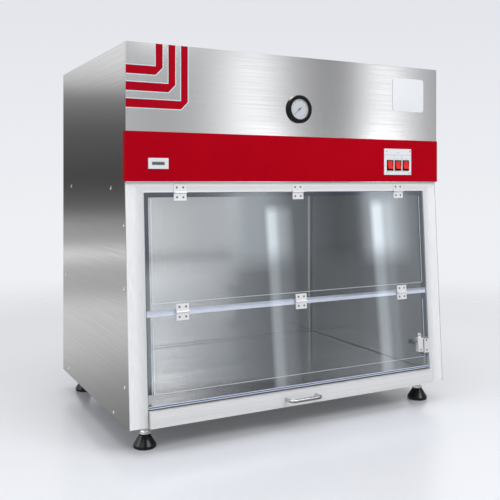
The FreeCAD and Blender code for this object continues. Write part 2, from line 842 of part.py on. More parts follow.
def side_seal(label, sign):
    inner, outer = sorted((SEAL_IN * sign, DOOR_HALF * sign), key=lambda part: part.value)
    return box(label, (inner, LOWER_REAR_LOW, SEAL_BACK), (outer, SEAL_JOINT_TOP, -S.pane_thickness), "door")


node("lower_seal", group("lower_seal", [
    side_seal("lower_seal_left", -1),
    cut("lower_seal_right", side_seal("lower_seal_right_strip", 1),
        [box("lower_seal_notch", *notch, "door")])]))


# Latch: a block with an ear on the lower pane, a drawn bolt and a keeper on the stile
BOLT_UP = LATCH_LOW + S.bolt_height
BOLT_HOLE = S.bolt_radius + S.pin_clearance


def latch_block():
    body = new_body("latch_block", "door")
    pad(body, rectangle(body, "latch_face", (LATCH_LEFT, LATCH_LOW),
                        (LATCH_RIGHT, LATCH_LOW + S.latch_height)), S.latch_depth)
    pad(body, rectangle(body, "latch_ear_face", (LATCH_MIDDLE, LATCH_LOW + S.latch_height),
                        (LATCH_RIGHT, LATCH_LOW + S.latch_height + S.latch_ear)), S.latch_depth / 3)
    doc.recompute()
    round_edges(body, "latch_ear_round", near_top_ear, S.latch_width / 4 - S.running_gap)
    return body


def near_top_ear(edge):
    limit = (LATCH_LOW + S.latch_height + S.latch_ear / 2).value
    return is_along(edge, "z") and edge.BoundBox.YMin > limit


bolt_bore = doc.addObject("Part::Cylinder", "latch_bore")
bind(bolt_bore, "Radius", BOLT_HOLE)
bind(bolt_bore, "Height", S.latch_width + SHEET * 2)
lay_across(bolt_bore, (LATCH_LEFT - SHEET, BOLT_UP, S.bolt_lift))
node("latch_body", cut("latch_body", latch_block(), [bolt_bore]))

bolt_rod = doc.addObject("Part::Cylinder", "latch_bolt_rod")
bind(bolt_rod, "Radius", S.bolt_radius)
BOLT_BACK = LATCH_LEFT - S.bolt_travel - S.running_gap
bind(bolt_rod, "Height", KEEPER_LEFT - S.running_gap - BOLT_BACK)
lay_across(bolt_rod, (BOLT_BACK, BOLT_UP, S.bolt_lift))
bolt_knob = doc.addObject("Part::Cylinder", "latch_knob")
bind(bolt_knob, "Radius", S.knob_radius - S.bolt_lift / 2)
bind(bolt_knob, "Height", S.knob_length)
lay_across(bolt_knob, (BOLT_BACK - S.knob_length, BOLT_UP, S.bolt_lift + SHEET / 2))
node("latch_bolt", fuse("latch_bolt", [bolt_rod, bolt_knob]))

keeper_block = box("keeper_block", (KEEPER_LEFT, KEEPER_LOW, -DOOR_THICKNESS),
                   (KEEPER_RIGHT, KEEPER_HIGH, S.keeper_depth), "door")
keeper_arm = box("keeper_arm", (KEEPER_RIGHT, KEEPER_LOW, -DOOR_THICKNESS),
                 (STILE_INNER, KEEPER_HIGH, -DOOR_THICKNESS / 2), "door")
SLOT_HALF = S.bolt_radius + S.keeper_clearance
SLOT_BACK = S.bolt_lift - SLOT_HALF
SLOT_OUT = S.bolt_lift + SLOT_HALF
keeper_slot = box("keeper_slot", (KEEPER_LEFT - SHEET, BOLT_UP - SLOT_HALF, SLOT_BACK),
                  (KEEPER_RIGHT + SHEET, BOLT_UP + SLOT_HALF, SLOT_OUT), "door")
keeper_form = fuse("latch_keeper_form", [keeper_block, keeper_arm])
node("latch_keeper", cut("latch_keeper", keeper_form, [keeper_slot]))


# Head: folded wrapper, back, front panel and red band
HEAD_START = FRONT + S.front_return + S.panel_line


def head_wrapper():
    """Two sides and the top folded from one sheet, with intake slots over the fan."""
    body = new_body("head_wrapper_sheet", "front", (0, BACK - SHEET, 0))
    depth = BACK - SHEET - HEAD_START
    pad(body, outline(body, "wrapper_section", [
        (-HALF_WIDTH, DECK), (-HALF_WIDTH, TOP), (HALF_WIDTH, TOP), (HALF_WIDTH, DECK),
        (HALF_WIDTH - SHEET, DECK), (HALF_WIDTH - SHEET, TOP - SHEET),
        (SHEET - HALF_WIDTH, TOP - SHEET), (SHEET - HALF_WIDTH, DECK)]), depth)
    middle = (HEAD_START + BACK) / 2
    slots = []
    count = int(S.intake_count.value)
    for number in range(count):
        shift = S.intake_pitch * (number - (count - 1) / 2)
        for side in (-1, 1):
            left = S.intake_length * (side - 1) / 2 + S.intake_pitch / 2 * side
            slots.append(box("intake_slot_%d_%d" % (number, side + 1),
                             (left, middle + shift - S.intake_width / 2, TOP - SHEET * 2),
                             (left + S.intake_length, middle + shift + S.intake_width / 2, TOP + SHEET)))
    tool = group("intake_slots", slots)
    return cut("head_wrapper", body, [tool])


node("head_wrapper", head_wrapper())
INLET_LEFT = HALF_WIDTH - S.inlet_inset - S.inlet_width / 2
INLET_LOW = DECK + S.inlet_rise - S.inlet_height / 2
FLANGE = SHEET * 2
INLET_IN = (INLET_LEFT + FLANGE, INLET_LOW + FLANGE)
INLET_OUT = (INLET_LEFT + S.inlet_width - FLANGE, INLET_LOW + S.inlet_height - FLANGE)
head_back_sheet = box("head_back_sheet", (-HALF_WIDTH, BACK - SHEET, DECK), (HALF_WIDTH, BACK, TOP))
inlet_hole = box("inlet_hole", (INLET_IN[0], BACK - SHEET * 3, INLET_IN[1]),
                 (INLET_OUT[0], BACK + SHEET, INLET_OUT[1]))
node("head_back", cut("head_back", head_back_sheet, [inlet_hole]))

inlet_flange = box("inlet_flange", (INLET_LEFT, BACK, INLET_LOW),
                   (INLET_LEFT + S.inlet_width, BACK + S.inlet_stand, INLET_LOW + S.inlet_height))
inlet_block = box("inlet_block", (INLET_IN[0], BACK - S.inlet_body, INLET_IN[1]),
                  (INLET_OUT[0], BACK, INLET_OUT[1]))
inlet_socket = box("inlet_socket", (INLET_IN[0] + FLANGE, BACK - S.inlet_body + FLANGE, INLET_IN[1] + SHEET),
                   (INLET_OUT[0] - FLANGE, BACK + S.inlet_stand + SHEET, INLET_OUT[1] - SHEET))
inlet_form = fuse("mains_inlet_form", [inlet_flange, inlet_block])
node("mains_inlet", cut("mains_inlet", inlet_form, [inlet_socket]))

GAUGE_Z = DECK + S.gauge_rise
METER_LOW = DECK + S.meter_rise - S.meter_height / 2
METER_LEFT = S.meter_inset - HALF_WIDTH - S.meter_width / 2
METER_LIP = SHEET * 1.5
METER_IN = (METER_LEFT + METER_LIP, METER_LOW + METER_LIP)
METER_OUT = (METER_LEFT + S.meter_width - METER_LIP, METER_LOW + S.meter_height - METER_LIP)
SWITCH_Z = DECK + S.switch_rise
BODY_LIP = S.bezel_wall / 2
SWITCH_MIDDLE = HALF_WIDTH - S.switch_inset
SWITCH_PLACES = [("left", SWITCH_MIDDLE - S.switch_pitch), ("middle", SWITCH_MIDDLE),
                 ("right", SWITCH_MIDDLE + S.switch_pitch)]
BODY_HALF_WIDTH = S.bezel_width / 2 - BODY_LIP
BODY_HALF_HEIGHT = S.bezel_height / 2 - BODY_LIP
BAND_FACE = FRONT - S.band_thickness
PLATE_FACE = BAND_FACE - S.switch_plate_thickness


def switch_holes(label):
    return [box("%s_switch_%s" % (label, name),
                (across - BODY_HALF_WIDTH, PLATE_FACE - SHEET, SWITCH_Z - BODY_HALF_HEIGHT),
                (across + BODY_HALF_WIDTH, FRONT + S.front_return + SHEET, SWITCH_Z + BODY_HALF_HEIGHT))
            for name, across in SWITCH_PLACES]


def meter_hole(label):
    return box(label + "_meter", (METER_IN[0], BAND_FACE - SHEET, METER_IN[1]),
               (METER_OUT[0], FRONT + S.front_return + SHEET, METER_OUT[1]))


def head_front():
    """Shallow pan: front sheet with its edges turned back."""
    body = new_body("head_front_pan", "front", (0, FRONT + S.front_return, 0))
    low = DECK + S.seam_gap
    pad(body, rectangle(body, "head_front_face", (-HALF_WIDTH, low), (HALF_WIDTH, TOP)), S.front_return)
    pocket(body, rectangle(body, "head_front_hollow", (SHEET - HALF_WIDTH, low + SHEET),
                           (HALF_WIDTH - SHEET, TOP - SHEET)), S.front_return - SHEET, S.front_return - SHEET)
    hole = circle(body, "gauge_hole", (0, GAUGE_Z), S.gauge_body_radius + S.seam_gap)
    pocket(body, hole, S.front_return, S.front_return)
    return cut("head_front", body, switch_holes("head_front") + [meter_hole("head_front")])


node("head_front", head_front())

BAND_LOW = DECK + S.band_foot
BAND_HIGH = BAND_LOW + S.band_height
band_outer = box("band_outer", (-HALF_WIDTH - SHEET, BAND_FACE, BAND_LOW),
                 (HALF_WIDTH + SHEET, FRONT + S.band_wrap, BAND_HIGH))
band_inner = box("band_inner", (-HALF_WIDTH, FRONT, BAND_LOW - SHEET),
                 (HALF_WIDTH, FRONT + S.band_wrap + SHEET, BAND_HIGH + SHEET))
node("red_band", cut("red_band", band_outer, [band_inner, meter_hole("red_band")] + switch_holes("red_band")))


def stripe(number):
    """One of the nested angle stripes round the top left corner, its outer corner cut off."""
    label = "stripe_%d" % number
    inner = -HALF_WIDTH + S.stripe_first_side + S.stripe_side_step * number
    outer = inner + S.stripe_upright
    high = TOP - S.stripe_first_top - S.stripe_drop_step * number
    low = high - S.stripe_level
    body = new_body(label, "front", (0, FRONT, 0))
    pad(body, outline(body, label + "_outline", [
        (-HALF_WIDTH, low), (inner, low), (outer, low + S.stripe_chamfer), (outer, TOP),
        (inner, TOP), (inner, high), (-HALF_WIDTH, high)]), S.stripe_thickness)
    return body


node("corner_stripes", group("corner_stripes", [stripe(number) for number in range(3)]))

blank = new_body("blank_plate_sheet", "front",
                 (HALF_WIDTH - S.blank_plate_inset, FRONT, TOP - S.blank_plate_drop))
pad(blank, rectangle(blank, "blank_plate_face", (S.blank_plate_width / -2, S.blank_plate_height / -2),
                     (S.blank_plate_width / 2, S.blank_plate_height / 2)), S.blank_plate_thickness)
doc.recompute()
round_edges(blank, "blank_plate_corners", lambda edge: is_along(edge, "z"), S.blank_plate_radius)
node("blank_plate", blank)


# Pressure gauge: turned case, dial with a pivot, clear lens and needle
def turned(label, points, spot, frame="front"):
    """A solid of revolution about its own z, from half-section points of radius and height."""
    body = new_body(label, frame, spot)
    drawing = outline(body, label + "_section", points, "XZ_Plane")
    revolve(body, drawing)
    return body


GAUGE_SPOT = (0, FRONT, GAUGE_Z)
DIAL_BACK = S.gauge_stand - S.gauge_recess
RIM = S.gauge_radius - SHEET
node("gauge_case", turned("gauge_case", [
    (0, -S.gauge_body_depth), (S.gauge_body_radius, -S.gauge_body_depth), (S.gauge_body_radius, 0),
    (S.gauge_radius, 0), (S.gauge_radius, S.gauge_stand - SHEET), (RIM, S.gauge_stand),
    (S.gauge_window + SHEET, S.gauge_stand), (S.gauge_window, S.gauge_stand - SHEET / 2),
    (S.gauge_window, DIAL_BACK), (0, DIAL_BACK)], GAUGE_SPOT))
DIAL_FACE = DIAL_BACK + S.dial_thickness
DIAL_RADIUS = S.gauge_window - S.seat_clearance
PIN_TOP = DIAL_FACE + S.needle_thickness * 3
node("gauge_dial", turned("gauge_dial", [
    (0, DIAL_BACK), (DIAL_RADIUS, DIAL_BACK), (DIAL_RADIUS, DIAL_FACE),
    (S.needle_pin, DIAL_FACE), (S.needle_pin, PIN_TOP), (0, PIN_TOP)], GAUGE_SPOT))
LENS_TOP = S.gauge_stand - SHEET / 2
node("gauge_lens", turned("gauge_lens", [
    (0, LENS_TOP - S.lens_thickness), (DIAL_RADIUS, LENS_TOP - S.lens_thickness),
    (DIAL_RADIUS, LENS_TOP), (0, LENS_TOP)], GAUGE_SPOT))


def gauge_needle():
    """Tapered pointer with a tail and a bored hub, lying at its zero."""
    body = new_body("gauge_needle_form", "front", GAUGE_SPOT)
    low = DIAL_FACE + S.running_gap
    half = S.needle_width / 2
    pad(body, outline(body, "needle_outline", [
        (-S.needle_tail, -half), (S.needle_length, -half / 3), (S.needle_length, half / 3),
        (-S.needle_tail, half)]), S.needle_thickness, low)
    pad(body, circle(body, "needle_hub_face", (0, 0), S.needle_hub), S.needle_thickness * 2, low)
    pocket(body, circle(body, "needle_bore", (0, 0), S.needle_pin + S.pin_clearance),
           S.needle_thickness * 4, low + S.needle_thickness * 3)
    turn = FreeCAD.Rotation(V(1, 0, 0), 90).multiply(FreeCAD.Rotation(V(0, 0, 1), S.needle_rest.value))
    body.setExpression("Placement.Rotation.Angle", None)
    body.Placement = FreeCAD.Placement(body.Placement.Base, turn)
    return body


node("gauge_needle", gauge_needle())

# Hour meter: bezel, body behind the band and a window recess
meter_bezel = box("meter_bezel", (METER_LEFT, BAND_FACE - S.meter_stand, METER_LOW),
                  (METER_LEFT + S.meter_width, BAND_FACE, METER_LOW + S.meter_height))
meter_block = box("meter_block", (METER_IN[0], BAND_FACE, METER_IN[1]),
                  (METER_OUT[0], BAND_FACE + S.meter_body, METER_OUT[1]))
meter_window = box(
    "meter_window",
    (METER_LEFT + S.meter_window_side, BAND_FACE - S.meter_stand - SHEET, METER_LOW + S.meter_window_end),
    (METER_LEFT + S.meter_width - S.meter_window_side, BAND_FACE - S.meter_stand / 2,
     METER_LOW + S.meter_height - S.meter_window_end))
node("hour_meter", cut("hour_meter", fuse("hour_meter_form", [meter_bezel, meter_block]), [meter_window]))

# Switch plate, three bezels and their rockers
plate_half = S.switch_plate_width / 2
plate_low = DECK + S.switch_plate_rise - S.switch_plate_height / 2
switch_sheet = box("switch_sheet", (SWITCH_MIDDLE - plate_half, PLATE_FACE, plate_low),
                   (SWITCH_MIDDLE + plate_half, BAND_FACE, plate_low + S.switch_plate_height))
node("switch_plate", cut("switch_plate", switch_sheet, switch_holes("switch_plate")))

BEZEL_FACE = PLATE_FACE - S.bezel_stand
PIVOT_Y = BEZEL_FACE + S.rocker_pivot_depth
WELL_HALF_WIDTH = S.bezel_width / 2 - S.bezel_wall
WELL_HALF_HEIGHT = S.bezel_height / 2 - S.bezel_wall
ROCKER_HALF_WIDTH = WELL_HALF_WIDTH - S.rocker_gap
ROCKER_END = S.rocker_pivot_depth + SHEET
ROCKER_HALF_HEIGHT = WELL_HALF_HEIGHT - S.rocker_gap - ROCKER_END * sine(S.rocker_tilt)


def pivot_rod(label, across, half, radius):
    item = doc.addObject("Part::Cylinder", label)
    bind(item, "Radius", radius)
    bind(item, "Height", half * 2)
    item.Placement = FreeCAD.Placement(V(0, 0, 0), FreeCAD.Rotation(V(0, 1, 0), 90))
    bind(item, "Placement.Base.x", across - half)
    bind(item, "Placement.Base.y", PIVOT_Y)
    bind(item, "Placement.Base.z", SWITCH_Z)
    return item


def switch_bezel(name, across):
    """Flanged frame with a well for the rocker and bearings in its side walls."""
    label = "bezel_" + name
    flange = box(label + "_flange", (across - S.bezel_width / 2, BEZEL_FACE, SWITCH_Z - S.bezel_height / 2),
                 (across + S.bezel_width / 2, PLATE_FACE, SWITCH_Z + S.bezel_height / 2))
    block = box(label + "_block", (across - BODY_HALF_WIDTH, PLATE_FACE, SWITCH_Z - BODY_HALF_HEIGHT),
                (across + BODY_HALF_WIDTH, PLATE_FACE + S.bezel_body, SWITCH_Z + BODY_HALF_HEIGHT))
    well = box(label + "_well", (across - WELL_HALF_WIDTH, BEZEL_FACE - SHEET, SWITCH_Z - WELL_HALF_HEIGHT),
               (across + WELL_HALF_WIDTH, PLATE_FACE + S.bezel_body - SHEET, SWITCH_Z + WELL_HALF_HEIGHT))
    bearing = pivot_rod(label + "_bearing", across, WELL_HALF_WIDTH + S.bezel_wall / 3,
                        S.rocker_pin + S.pin_clearance)
    return cut(label, fuse(label + "_form", [flange, block]), [well, bearing])


node("switch_bezels", group("switch_bezels", [switch_bezel(*each) for each in SWITCH_PLACES]))


def rocker(name, across):
    """Paddle with two slanting faces, resting with its lower end out, on a pin through its middle."""
    label = "rocker_" + name
    high = ROCKER_HALF_HEIGHT
    middle = S.rocker_pivot_depth - S.running_gap
    end = ROCKER_END
    body = new_body(label + "_paddle", "side", (across - ROCKER_HALF_WIDTH, PIVOT_Y, SWITCH_Z))
    pad(body, outline(body, label + "_outline", [
        (-end, -high), (-middle, 0), (-end, high), (S.rocker_pin, high / 2), (S.rocker_pin * 2, 0),
        (S.rocker_pin, high / -2)]), ROCKER_HALF_WIDTH * 2)
    lie = FreeCAD.Rotation(V(1, 0, 0), -S.rocker_tilt.value).multiply(FreeCAD.Rotation(V(1, 1, 1), 120))
    body.Placement = FreeCAD.Placement(body.Placement.Base, lie)
    pin = pivot_rod(label + "_pin", across, WELL_HALF_WIDTH + S.bezel_wall / 4, S.rocker_pin)
    return fuse(label, [body, pin])


for each in SWITCH_PLACES:
    node("rocker_" + each[0], rocker(*each))


# Side cowl: folded hood on the right wall, open behind
def side_cowl():
    back_end = FRONT + S.band_wrap + S.cowl_start + S.cowl_length
    body = new_body("side_cowl_form", "front", (HALF_WIDTH, back_end, DECK))
    pad(body, outline(body, "cowl_section", [
        (0, S.cowl_foot), (S.cowl_reach, S.cowl_peak), (0, S.cowl_top)]), S.cowl_length)
    pocket(body, outline(body, "cowl_hollow", [
        (0, S.cowl_foot + S.cowl_lip), (S.cowl_reach - S.cowl_wall, S.cowl_peak - SHEET / 2),
        (0, S.cowl_top - SHEET * 2)]), S.cowl_length - SHEET, S.cowl_length - SHEET)
    return body


node("side_cowl", side_cowl())


# Filter: frame and pleated media between the diffuser and the plenum
FILTER_SIDE = LINER_SIDE - S.filter_margin
FILTER_FRONT = TOP_FRONT + S.filter_margin
FILTER_BACK = LINER_BACK - S.filter_margin
filter_outer = box("filter_outer", (-FILTER_SIDE, FILTER_FRONT, DECK),
                   (FILTER_SIDE, FILTER_BACK, DECK + S.filter_height))
filter_inner = box("filter_inner",
                   (S.filter_wall - FILTER_SIDE, FILTER_FRONT + S.filter_wall, DECK - SHEET),
                   (FILTER_SIDE - S.filter_wall, FILTER_BACK - S.filter_wall,
                    DECK + S.filter_height + SHEET))
node("filter_frame", cut("filter_frame", filter_outer, [filter_inner]))


def pleats():
    """One zigzag sheet from wall to wall of the filter frame."""
    half = (FILTER_SIDE - S.filter_wall).value
    low = (DECK + SHEET * 2).value
    high = (DECK + S.filter_height - SHEET * 2).value
    count = max(1, int(round(half * 2 / S.pleat_pitch.value)))
    pitch = half * 2 / count
    drop = S.media_thickness.value * math.hypot(pitch / 2, high - low) / (pitch / 2)
    lower = [(-half + pitch * number / 2, low if number % 2 == 0 else high - drop)
             for number in range(count * 2 + 1)]
    upper = [(across, height + drop) for across, height in reversed(lower)]
    front, back = (FILTER_FRONT + S.filter_wall).value, (FILTER_BACK - S.filter_wall).value
    corners = [V(across, front, height) for across, height in lower + upper]
    return Part.Face(Part.makePolygon(corners + corners[:1])).extrude(V(0, back - front, 0))


node("filter_media", own_shape("filter_media", pleats()))

# Fan: deck with a rolled inlet, impeller on its motor, motor on a bridge
FAN_DECK = DECK + S.fan_deck_rise
HEAD_MIDDLE = (HEAD_START + BACK) / 2
FAN_SPOT = (0, HEAD_MIDDLE, FAN_DECK)
deck_plate = box("deck_plate", (SHEET - HALF_WIDTH, HEAD_START, FAN_DECK),
                 (HALF_WIDTH - SHEET, BACK - SHEET, FAN_DECK + S.plate_thickness))
throat = turned("throat", [
    (S.throat_radius, -S.throat_depth), (S.throat_radius + SHEET, -S.throat_depth),
    (S.throat_radius + SHEET, -S.throat_depth / 2), (S.throat_radius + S.throat_lip / 2, SHEET / 2),
    (S.throat_radius + S.throat_lip, S.plate_thickness),
    (S.throat_radius + S.throat_lip / 3, S.plate_thickness),
    (S.throat_radius, -S.throat_depth / 3)], FAN_SPOT, "flat")
throat_hole = rod("throat_hole", (0, HEAD_MIDDLE, FAN_DECK - SHEET),
                  S.throat_radius + S.throat_lip / 2, SHEET * 6)
node("fan_deck", fuse("fan_deck", [cut("fan_deck_plate", deck_plate, [throat_hole]), throat]))

IMPELLER_TOP = FAN_DECK - S.throat_depth + S.impeller_gap
IMPELLER_LOW = IMPELLER_TOP - S.impeller_height
SHROUD_IN = S.throat_radius + SHEET + S.impeller_gap / 2
MOTOR_LOW = IMPELLER_LOW - S.motor_height


def impeller():
    """Back plate with a hub, a dished shroud and backward-curved blades between them."""
    low, high = IMPELLER_LOW.value, IMPELLER_TOP.value
    wall, outer = S.blade_thickness.value, S.impeller_radius.value
    hub, bore = S.impeller_hub.value, (S.shaft_radius + S.shaft_clearance).value
    inner = SHROUD_IN.value
    tip = high - S.shroud_drop.value
    hub_top = low + S.hub_height.value

    def ring(points):
        corners = [V(x, 0, z) for x, z in points]
        return Part.Face(Part.makePolygon(corners + corners[:1])).revolve(V(0, 0, 0), V(0, 0, 1), 360)

    plate = ring([(bore, low), (outer, low), (outer, low + wall), (hub, low + wall),
                  (hub - S.hub_taper.value, hub_top), (bore, hub_top)])
    shroud = ring([(inner, high - wall * 2), (inner + wall, high - wall * 2), (outer, tip - wall),
                   (outer, tip), (inner + wall, high), (inner, high)])
    count = int(S.blade_count.value)
    start, end = S.blade_start.value, outer - wall / 2
    blades = []
    for number in range(count):
        sweep = []
        for side in (-wall / 2, wall / 2):
            marks = []
            for share in (0.0, 0.5, 1.0):
                reach = start + (end - start) * share
                bend = S.blade_sweep.value * share * share + S.blade_lead.value * share
                angle = math.radians(360.0 * number / count - bend)
                marks.append(V(reach * math.cos(angle) - side * math.sin(angle),
                               reach * math.sin(angle) + side * math.cos(angle), low))
            sweep.append(marks)
        one, two = sweep
        wire = Part.Wire([Part.Arc(*one).toShape(), Part.LineSegment(one[2], two[2]).toShape(),
                          Part.Arc(*reversed(two)).toShape(), Part.LineSegment(two[0], one[0]).toShape()])
        blades.append(Part.Face(wire).extrude(V(0, 0, high - low)))
    cover = ring([(0, low + wall / 2), (outer, low + wall / 2), (outer, tip - wall / 2),
                  (inner + wall, high - wall / 2), (inner + wall, high - wall * 1.5),
                  (inner, high - S.impeller_gap.value * 1.5), (start, low + hub), (0, low + hub)])
    blades = [blade.common(cover) for blade in blades]
    whole = plate.fuse([shroud] + blades).removeSplitter()
    whole.translate(V(0, HEAD_MIDDLE.value, 0))
    return whole


node("impeller", own_shape("impeller", impeller()))
node("fan_motor", turned("fan_motor", [
    (0, -S.motor_height), (S.motor_radius, -S.motor_height), (S.motor_radius, -S.running_gap * 2),
    (S.shaft_radius, -S.running_gap * 2), (S.shaft_radius, S.shaft_length), (0, S.shaft_length)],
    (0, HEAD_MIDDLE, IMPELLER_LOW), "flat"))


def motor_bridge():
    """Strap under the motor whose legs rise to the deck outside the impeller."""
    reach = S.impeller_radius + S.impeller_gap * 3
    low = MOTOR_LOW - S.plate_thickness
    body = new_body("motor_bridge_strap", "front", (0, HEAD_MIDDLE + S.bridge_width / 2, 0))
    wall = S.plate_thickness
    lip = reach + S.bridge_width / 3
    pad(body, outline(body, "bridge_section", [
        (-lip, FAN_DECK - wall), (-lip, FAN_DECK), (-reach, FAN_DECK), (-reach, low + wall),
        (reach, low + wall), (reach, FAN_DECK), (lip, FAN_DECK), (lip, FAN_DECK - wall),
        (reach + wall, FAN_DECK - wall), (reach + wall, low), (-reach - wall, low),
        (-reach - wall, FAN_DECK - wall)]), S.bridge_width)
    return body


node("motor_bridge", motor_bridge())
PRE_HALF = S.intake_length + S.prefilter_margin
PRE_DEPTH = S.intake_pitch * (S.intake_count + 1) / 2
node("prefilter", box("prefilter", (-PRE_HALF, HEAD_MIDDLE - PRE_DEPTH, TOP - SHEET - S.prefilter_height),
                      (PRE_HALF, HEAD_MIDDLE + PRE_DEPTH, TOP - SHEET)))
BALLAST_X = -HALF_WIDTH / 2 - S.ballast_length
BALLAST_Z = FAN_DECK + S.plate_thickness
node("ballast", box("ballast", (BALLAST_X, HEAD_MIDDLE, BALLAST_Z), (
    BALLAST_X + S.ballast_length, HEAD_MIDDLE + S.ballast_width, BALLAST_Z + S.ballast_height)))

# Lamps under the diffuser, held at both ends
LAMP_Z = DECK - S.lamp_drop
LAMP_FRONT_Y = TOP_FRONT + S.lamp_front
LAMP_BACK_Y = LINER_BACK - S.lamp_back
LAMP_HALF = LINER_SIDE - S.lamp_inset


def lamp(label, depth):
    item = doc.addObject("Part::Cylinder", label)
    bind(item, "Radius", S.lamp_radius)
    bind(item, "Height", LAMP_HALF * 2)
    item.Placement = FreeCAD.Placement(V(0, 0, 0), FreeCAD.Rotation(V(0, 1, 0), 90))
    bind(item, "Placement.Base.x", -LAMP_HALF)
    bind(item, "Placement.Base.y", depth)
    bind(item, "Placement.Base.z", LAMP_Z)
    return item


node("tube_white", lamp("tube_white", LAMP_FRONT_Y))
node("tube_germicidal", lamp("tube_germicidal", LAMP_BACK_Y))


def holder(label, depth, sign):
    low, high = sorted((LAMP_HALF * sign, LINER_SIDE * sign), key=lambda part: part.value)
    return box(label, (low, depth - S.holder_depth / 2, LAMP_Z - S.lamp_radius),
               (high, depth + S.holder_depth / 2, DECK - SHEET))


node("lamp_holders", group("lamp_holders", [
    holder("holder_front_left", LAMP_FRONT_Y, -1), holder("holder_front_right", LAMP_FRONT_Y, 1),
    holder("holder_back_left", LAMP_BACK_Y, -1), holder("holder_back_right", LAMP_BACK_Y, 1)]))

# Tray under the worktop: folded pan, box-section front and a bent rod handle
TRAY_HALF = BEARER_INNER - S.tray_side_gap
TRAY_LOW = FLOOR + S.runner_height + S.running_gap
TRAY_HIGH = TRAY_LOW + S.tray_height
TRAY_WALL_Y = LOWER_FRONT + S.tray_front_back
tray_outer = box("tray_outer", (-TRAY_HALF, TRAY_WALL_Y, TRAY_LOW),
                 (TRAY_HALF, TRAY_WALL_Y + S.tray_depth, TRAY_HIGH))
tray_inner = box("tray_inner", (SHEET - TRAY_HALF, TRAY_WALL_Y + SHEET, TRAY_LOW + SHEET),
                 (TRAY_HALF - SHEET, TRAY_WALL_Y + S.tray_depth - SHEET, TRAY_HIGH + SHEET))
node("tray_pan", cut("tray_pan", tray_outer, [tray_inner]))

TRAY_FRONT_HALF = STILE_INNER - S.tray_front_gap
FACE_LOW = S.tray_front_foot
FACE_HIGH = S.tray_front_height


def tray_front():
    """Box-section front that leans with the doors; its turned lips lie on the pan's front wall."""
    def face(height, inward=0):
        return (lean_line(height, S.tray_front_proud - inward), FLOOR + height)
    low, high = FACE_LOW, FACE_HIGH
    body = new_body("tray_front_form", "side")
    inside = TRAY_WALL_Y - SHEET
    lip_low, lip_high = TRAY_LOW + S.tray_lip, TRAY_HIGH - S.tray_lip
    section = [face(low), face(high), (TRAY_WALL_Y, FLOOR + high), (TRAY_WALL_Y, lip_high),
               (inside, lip_high), (inside, FLOOR + high - SHEET), face(high - SHEET, SHEET),
               face(low + SHEET, SHEET), (inside, FLOOR + low + SHEET), (inside, lip_low),
               (TRAY_WALL_Y, lip_low), (TRAY_WALL_Y, FLOOR + low)]
    pad(body, outline(body, "tray_front_section", section), TRAY_FRONT_HALF * 2, -TRAY_FRONT_HALF)
    cap = [face(low), face(high), (TRAY_WALL_Y, FLOOR + high), (TRAY_WALL_Y, FLOOR + low)]
    pad(body, outline(body, "tray_front_cap_left", cap), SHEET, -TRAY_FRONT_HALF)
    pad(body, outline(body, "tray_front_cap_right", cap), SHEET, TRAY_FRONT_HALF - SHEET)
    return body


node("tray_front", tray_front())


def handle():
    """Round rod bent twice, its legs square to the leaning face."""
    half = (S.handle_length / 2 - S.handle_rod).value
    reach = (S.handle_reach - S.handle_rod).value
    bend = S.handle_bend.value
    edge = bend * (1 - math.sqrt(0.5))
    path = Part.Wire([
        Part.LineSegment(V(-half, 0, 0), V(-half, 0, reach - bend)).toShape(),
        Part.Arc(V(-half, 0, reach - bend), V(-half + edge, 0, reach - edge),
                 V(-half + bend, 0, reach)).toShape(),
        Part.LineSegment(V(-half + bend, 0, reach), V(half - bend, 0, reach)).toShape(),
        Part.Arc(V(half - bend, 0, reach), V(half - edge, 0, reach - edge),
                 V(half, 0, reach - bend)).toShape(),
        Part.LineSegment(V(half, 0, reach - bend), V(half, 0, 0)).toShape()])
    section = Part.Wire(Part.makeCircle(S.handle_rod.value, V(-half, 0, 0), V(0, 0, 1)))
    return path.makePipeShell([section], True, False)


tray_handle = own_shape("tray_handle", handle())
place(tray_handle, "door", (S.handle_side, (FACE_LOW + FACE_HIGH) / 2, S.tray_front_proud))
node("tray_handle", tray_handle)


# Levelling feet: bell-shaped pads on threaded stems with a lock nut
def foot(name, spot):
    label = "foot_" + name
    stem_top = FLOOR + S.foot_stem_above
    turned_body = turned(label + "_bell", [
        (0, 0), (S.foot_radius - SHEET, 0), (S.foot_radius, SHEET), (S.foot_radius, S.foot_skirt),
        (S.foot_neck_radius, S.foot_cone_height), (S.foot_neck_radius, S.foot_neck_height),
        (S.foot_collar_radius, S.foot_neck_height), (S.foot_collar_radius, S.foot_collar_height),
        (S.foot_stem_radius, S.foot_collar_height), (S.foot_stem_radius, stem_top), (0, stem_top)],
        (spot[0], spot[1], 0), "flat")
    nut = doc.addObject("Part::Prism", label + "_nut")
    nut.Polygon = 6
    bind(nut, "Circumradius", S.foot_nut_flats / math.sqrt(3.0))
    bind(nut, "Height", S.foot_nut_height)
    place(nut, "flat", (spot[0], spot[1], S.foot_collar_height))
    return fuse(label, [turned_body, nut])


for name, spot in FOOT_SPOTS.items():
    node("foot_" + name, foot(name, spot))


# Check every object, then write one file per piece
doc.recompute()
for item in doc.Objects:
    if "Invalid" in item.State or "Error" in item.State:
        raise RuntimeError("%s failed: %s" % (item.Name, item.State))
for label, item in NODES.items():
    shape = item.Shape
    if shape.isNull() or not shape.isValid() or not shape.Solids:
        raise RuntimeError("%s has no sound shape" % label)
os.makedirs("parts", exist_ok=True)
for label, item in NODES.items():
    item.Shape.exportStep("parts/%s.step" % label)
print("%d pieces written" % len(NODES))
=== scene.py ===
"""Looks of the bench clean-air workstation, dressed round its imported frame. Metres throughout."""

import math
import bmesh
import bpy
from mathutils import Matrix, Vector


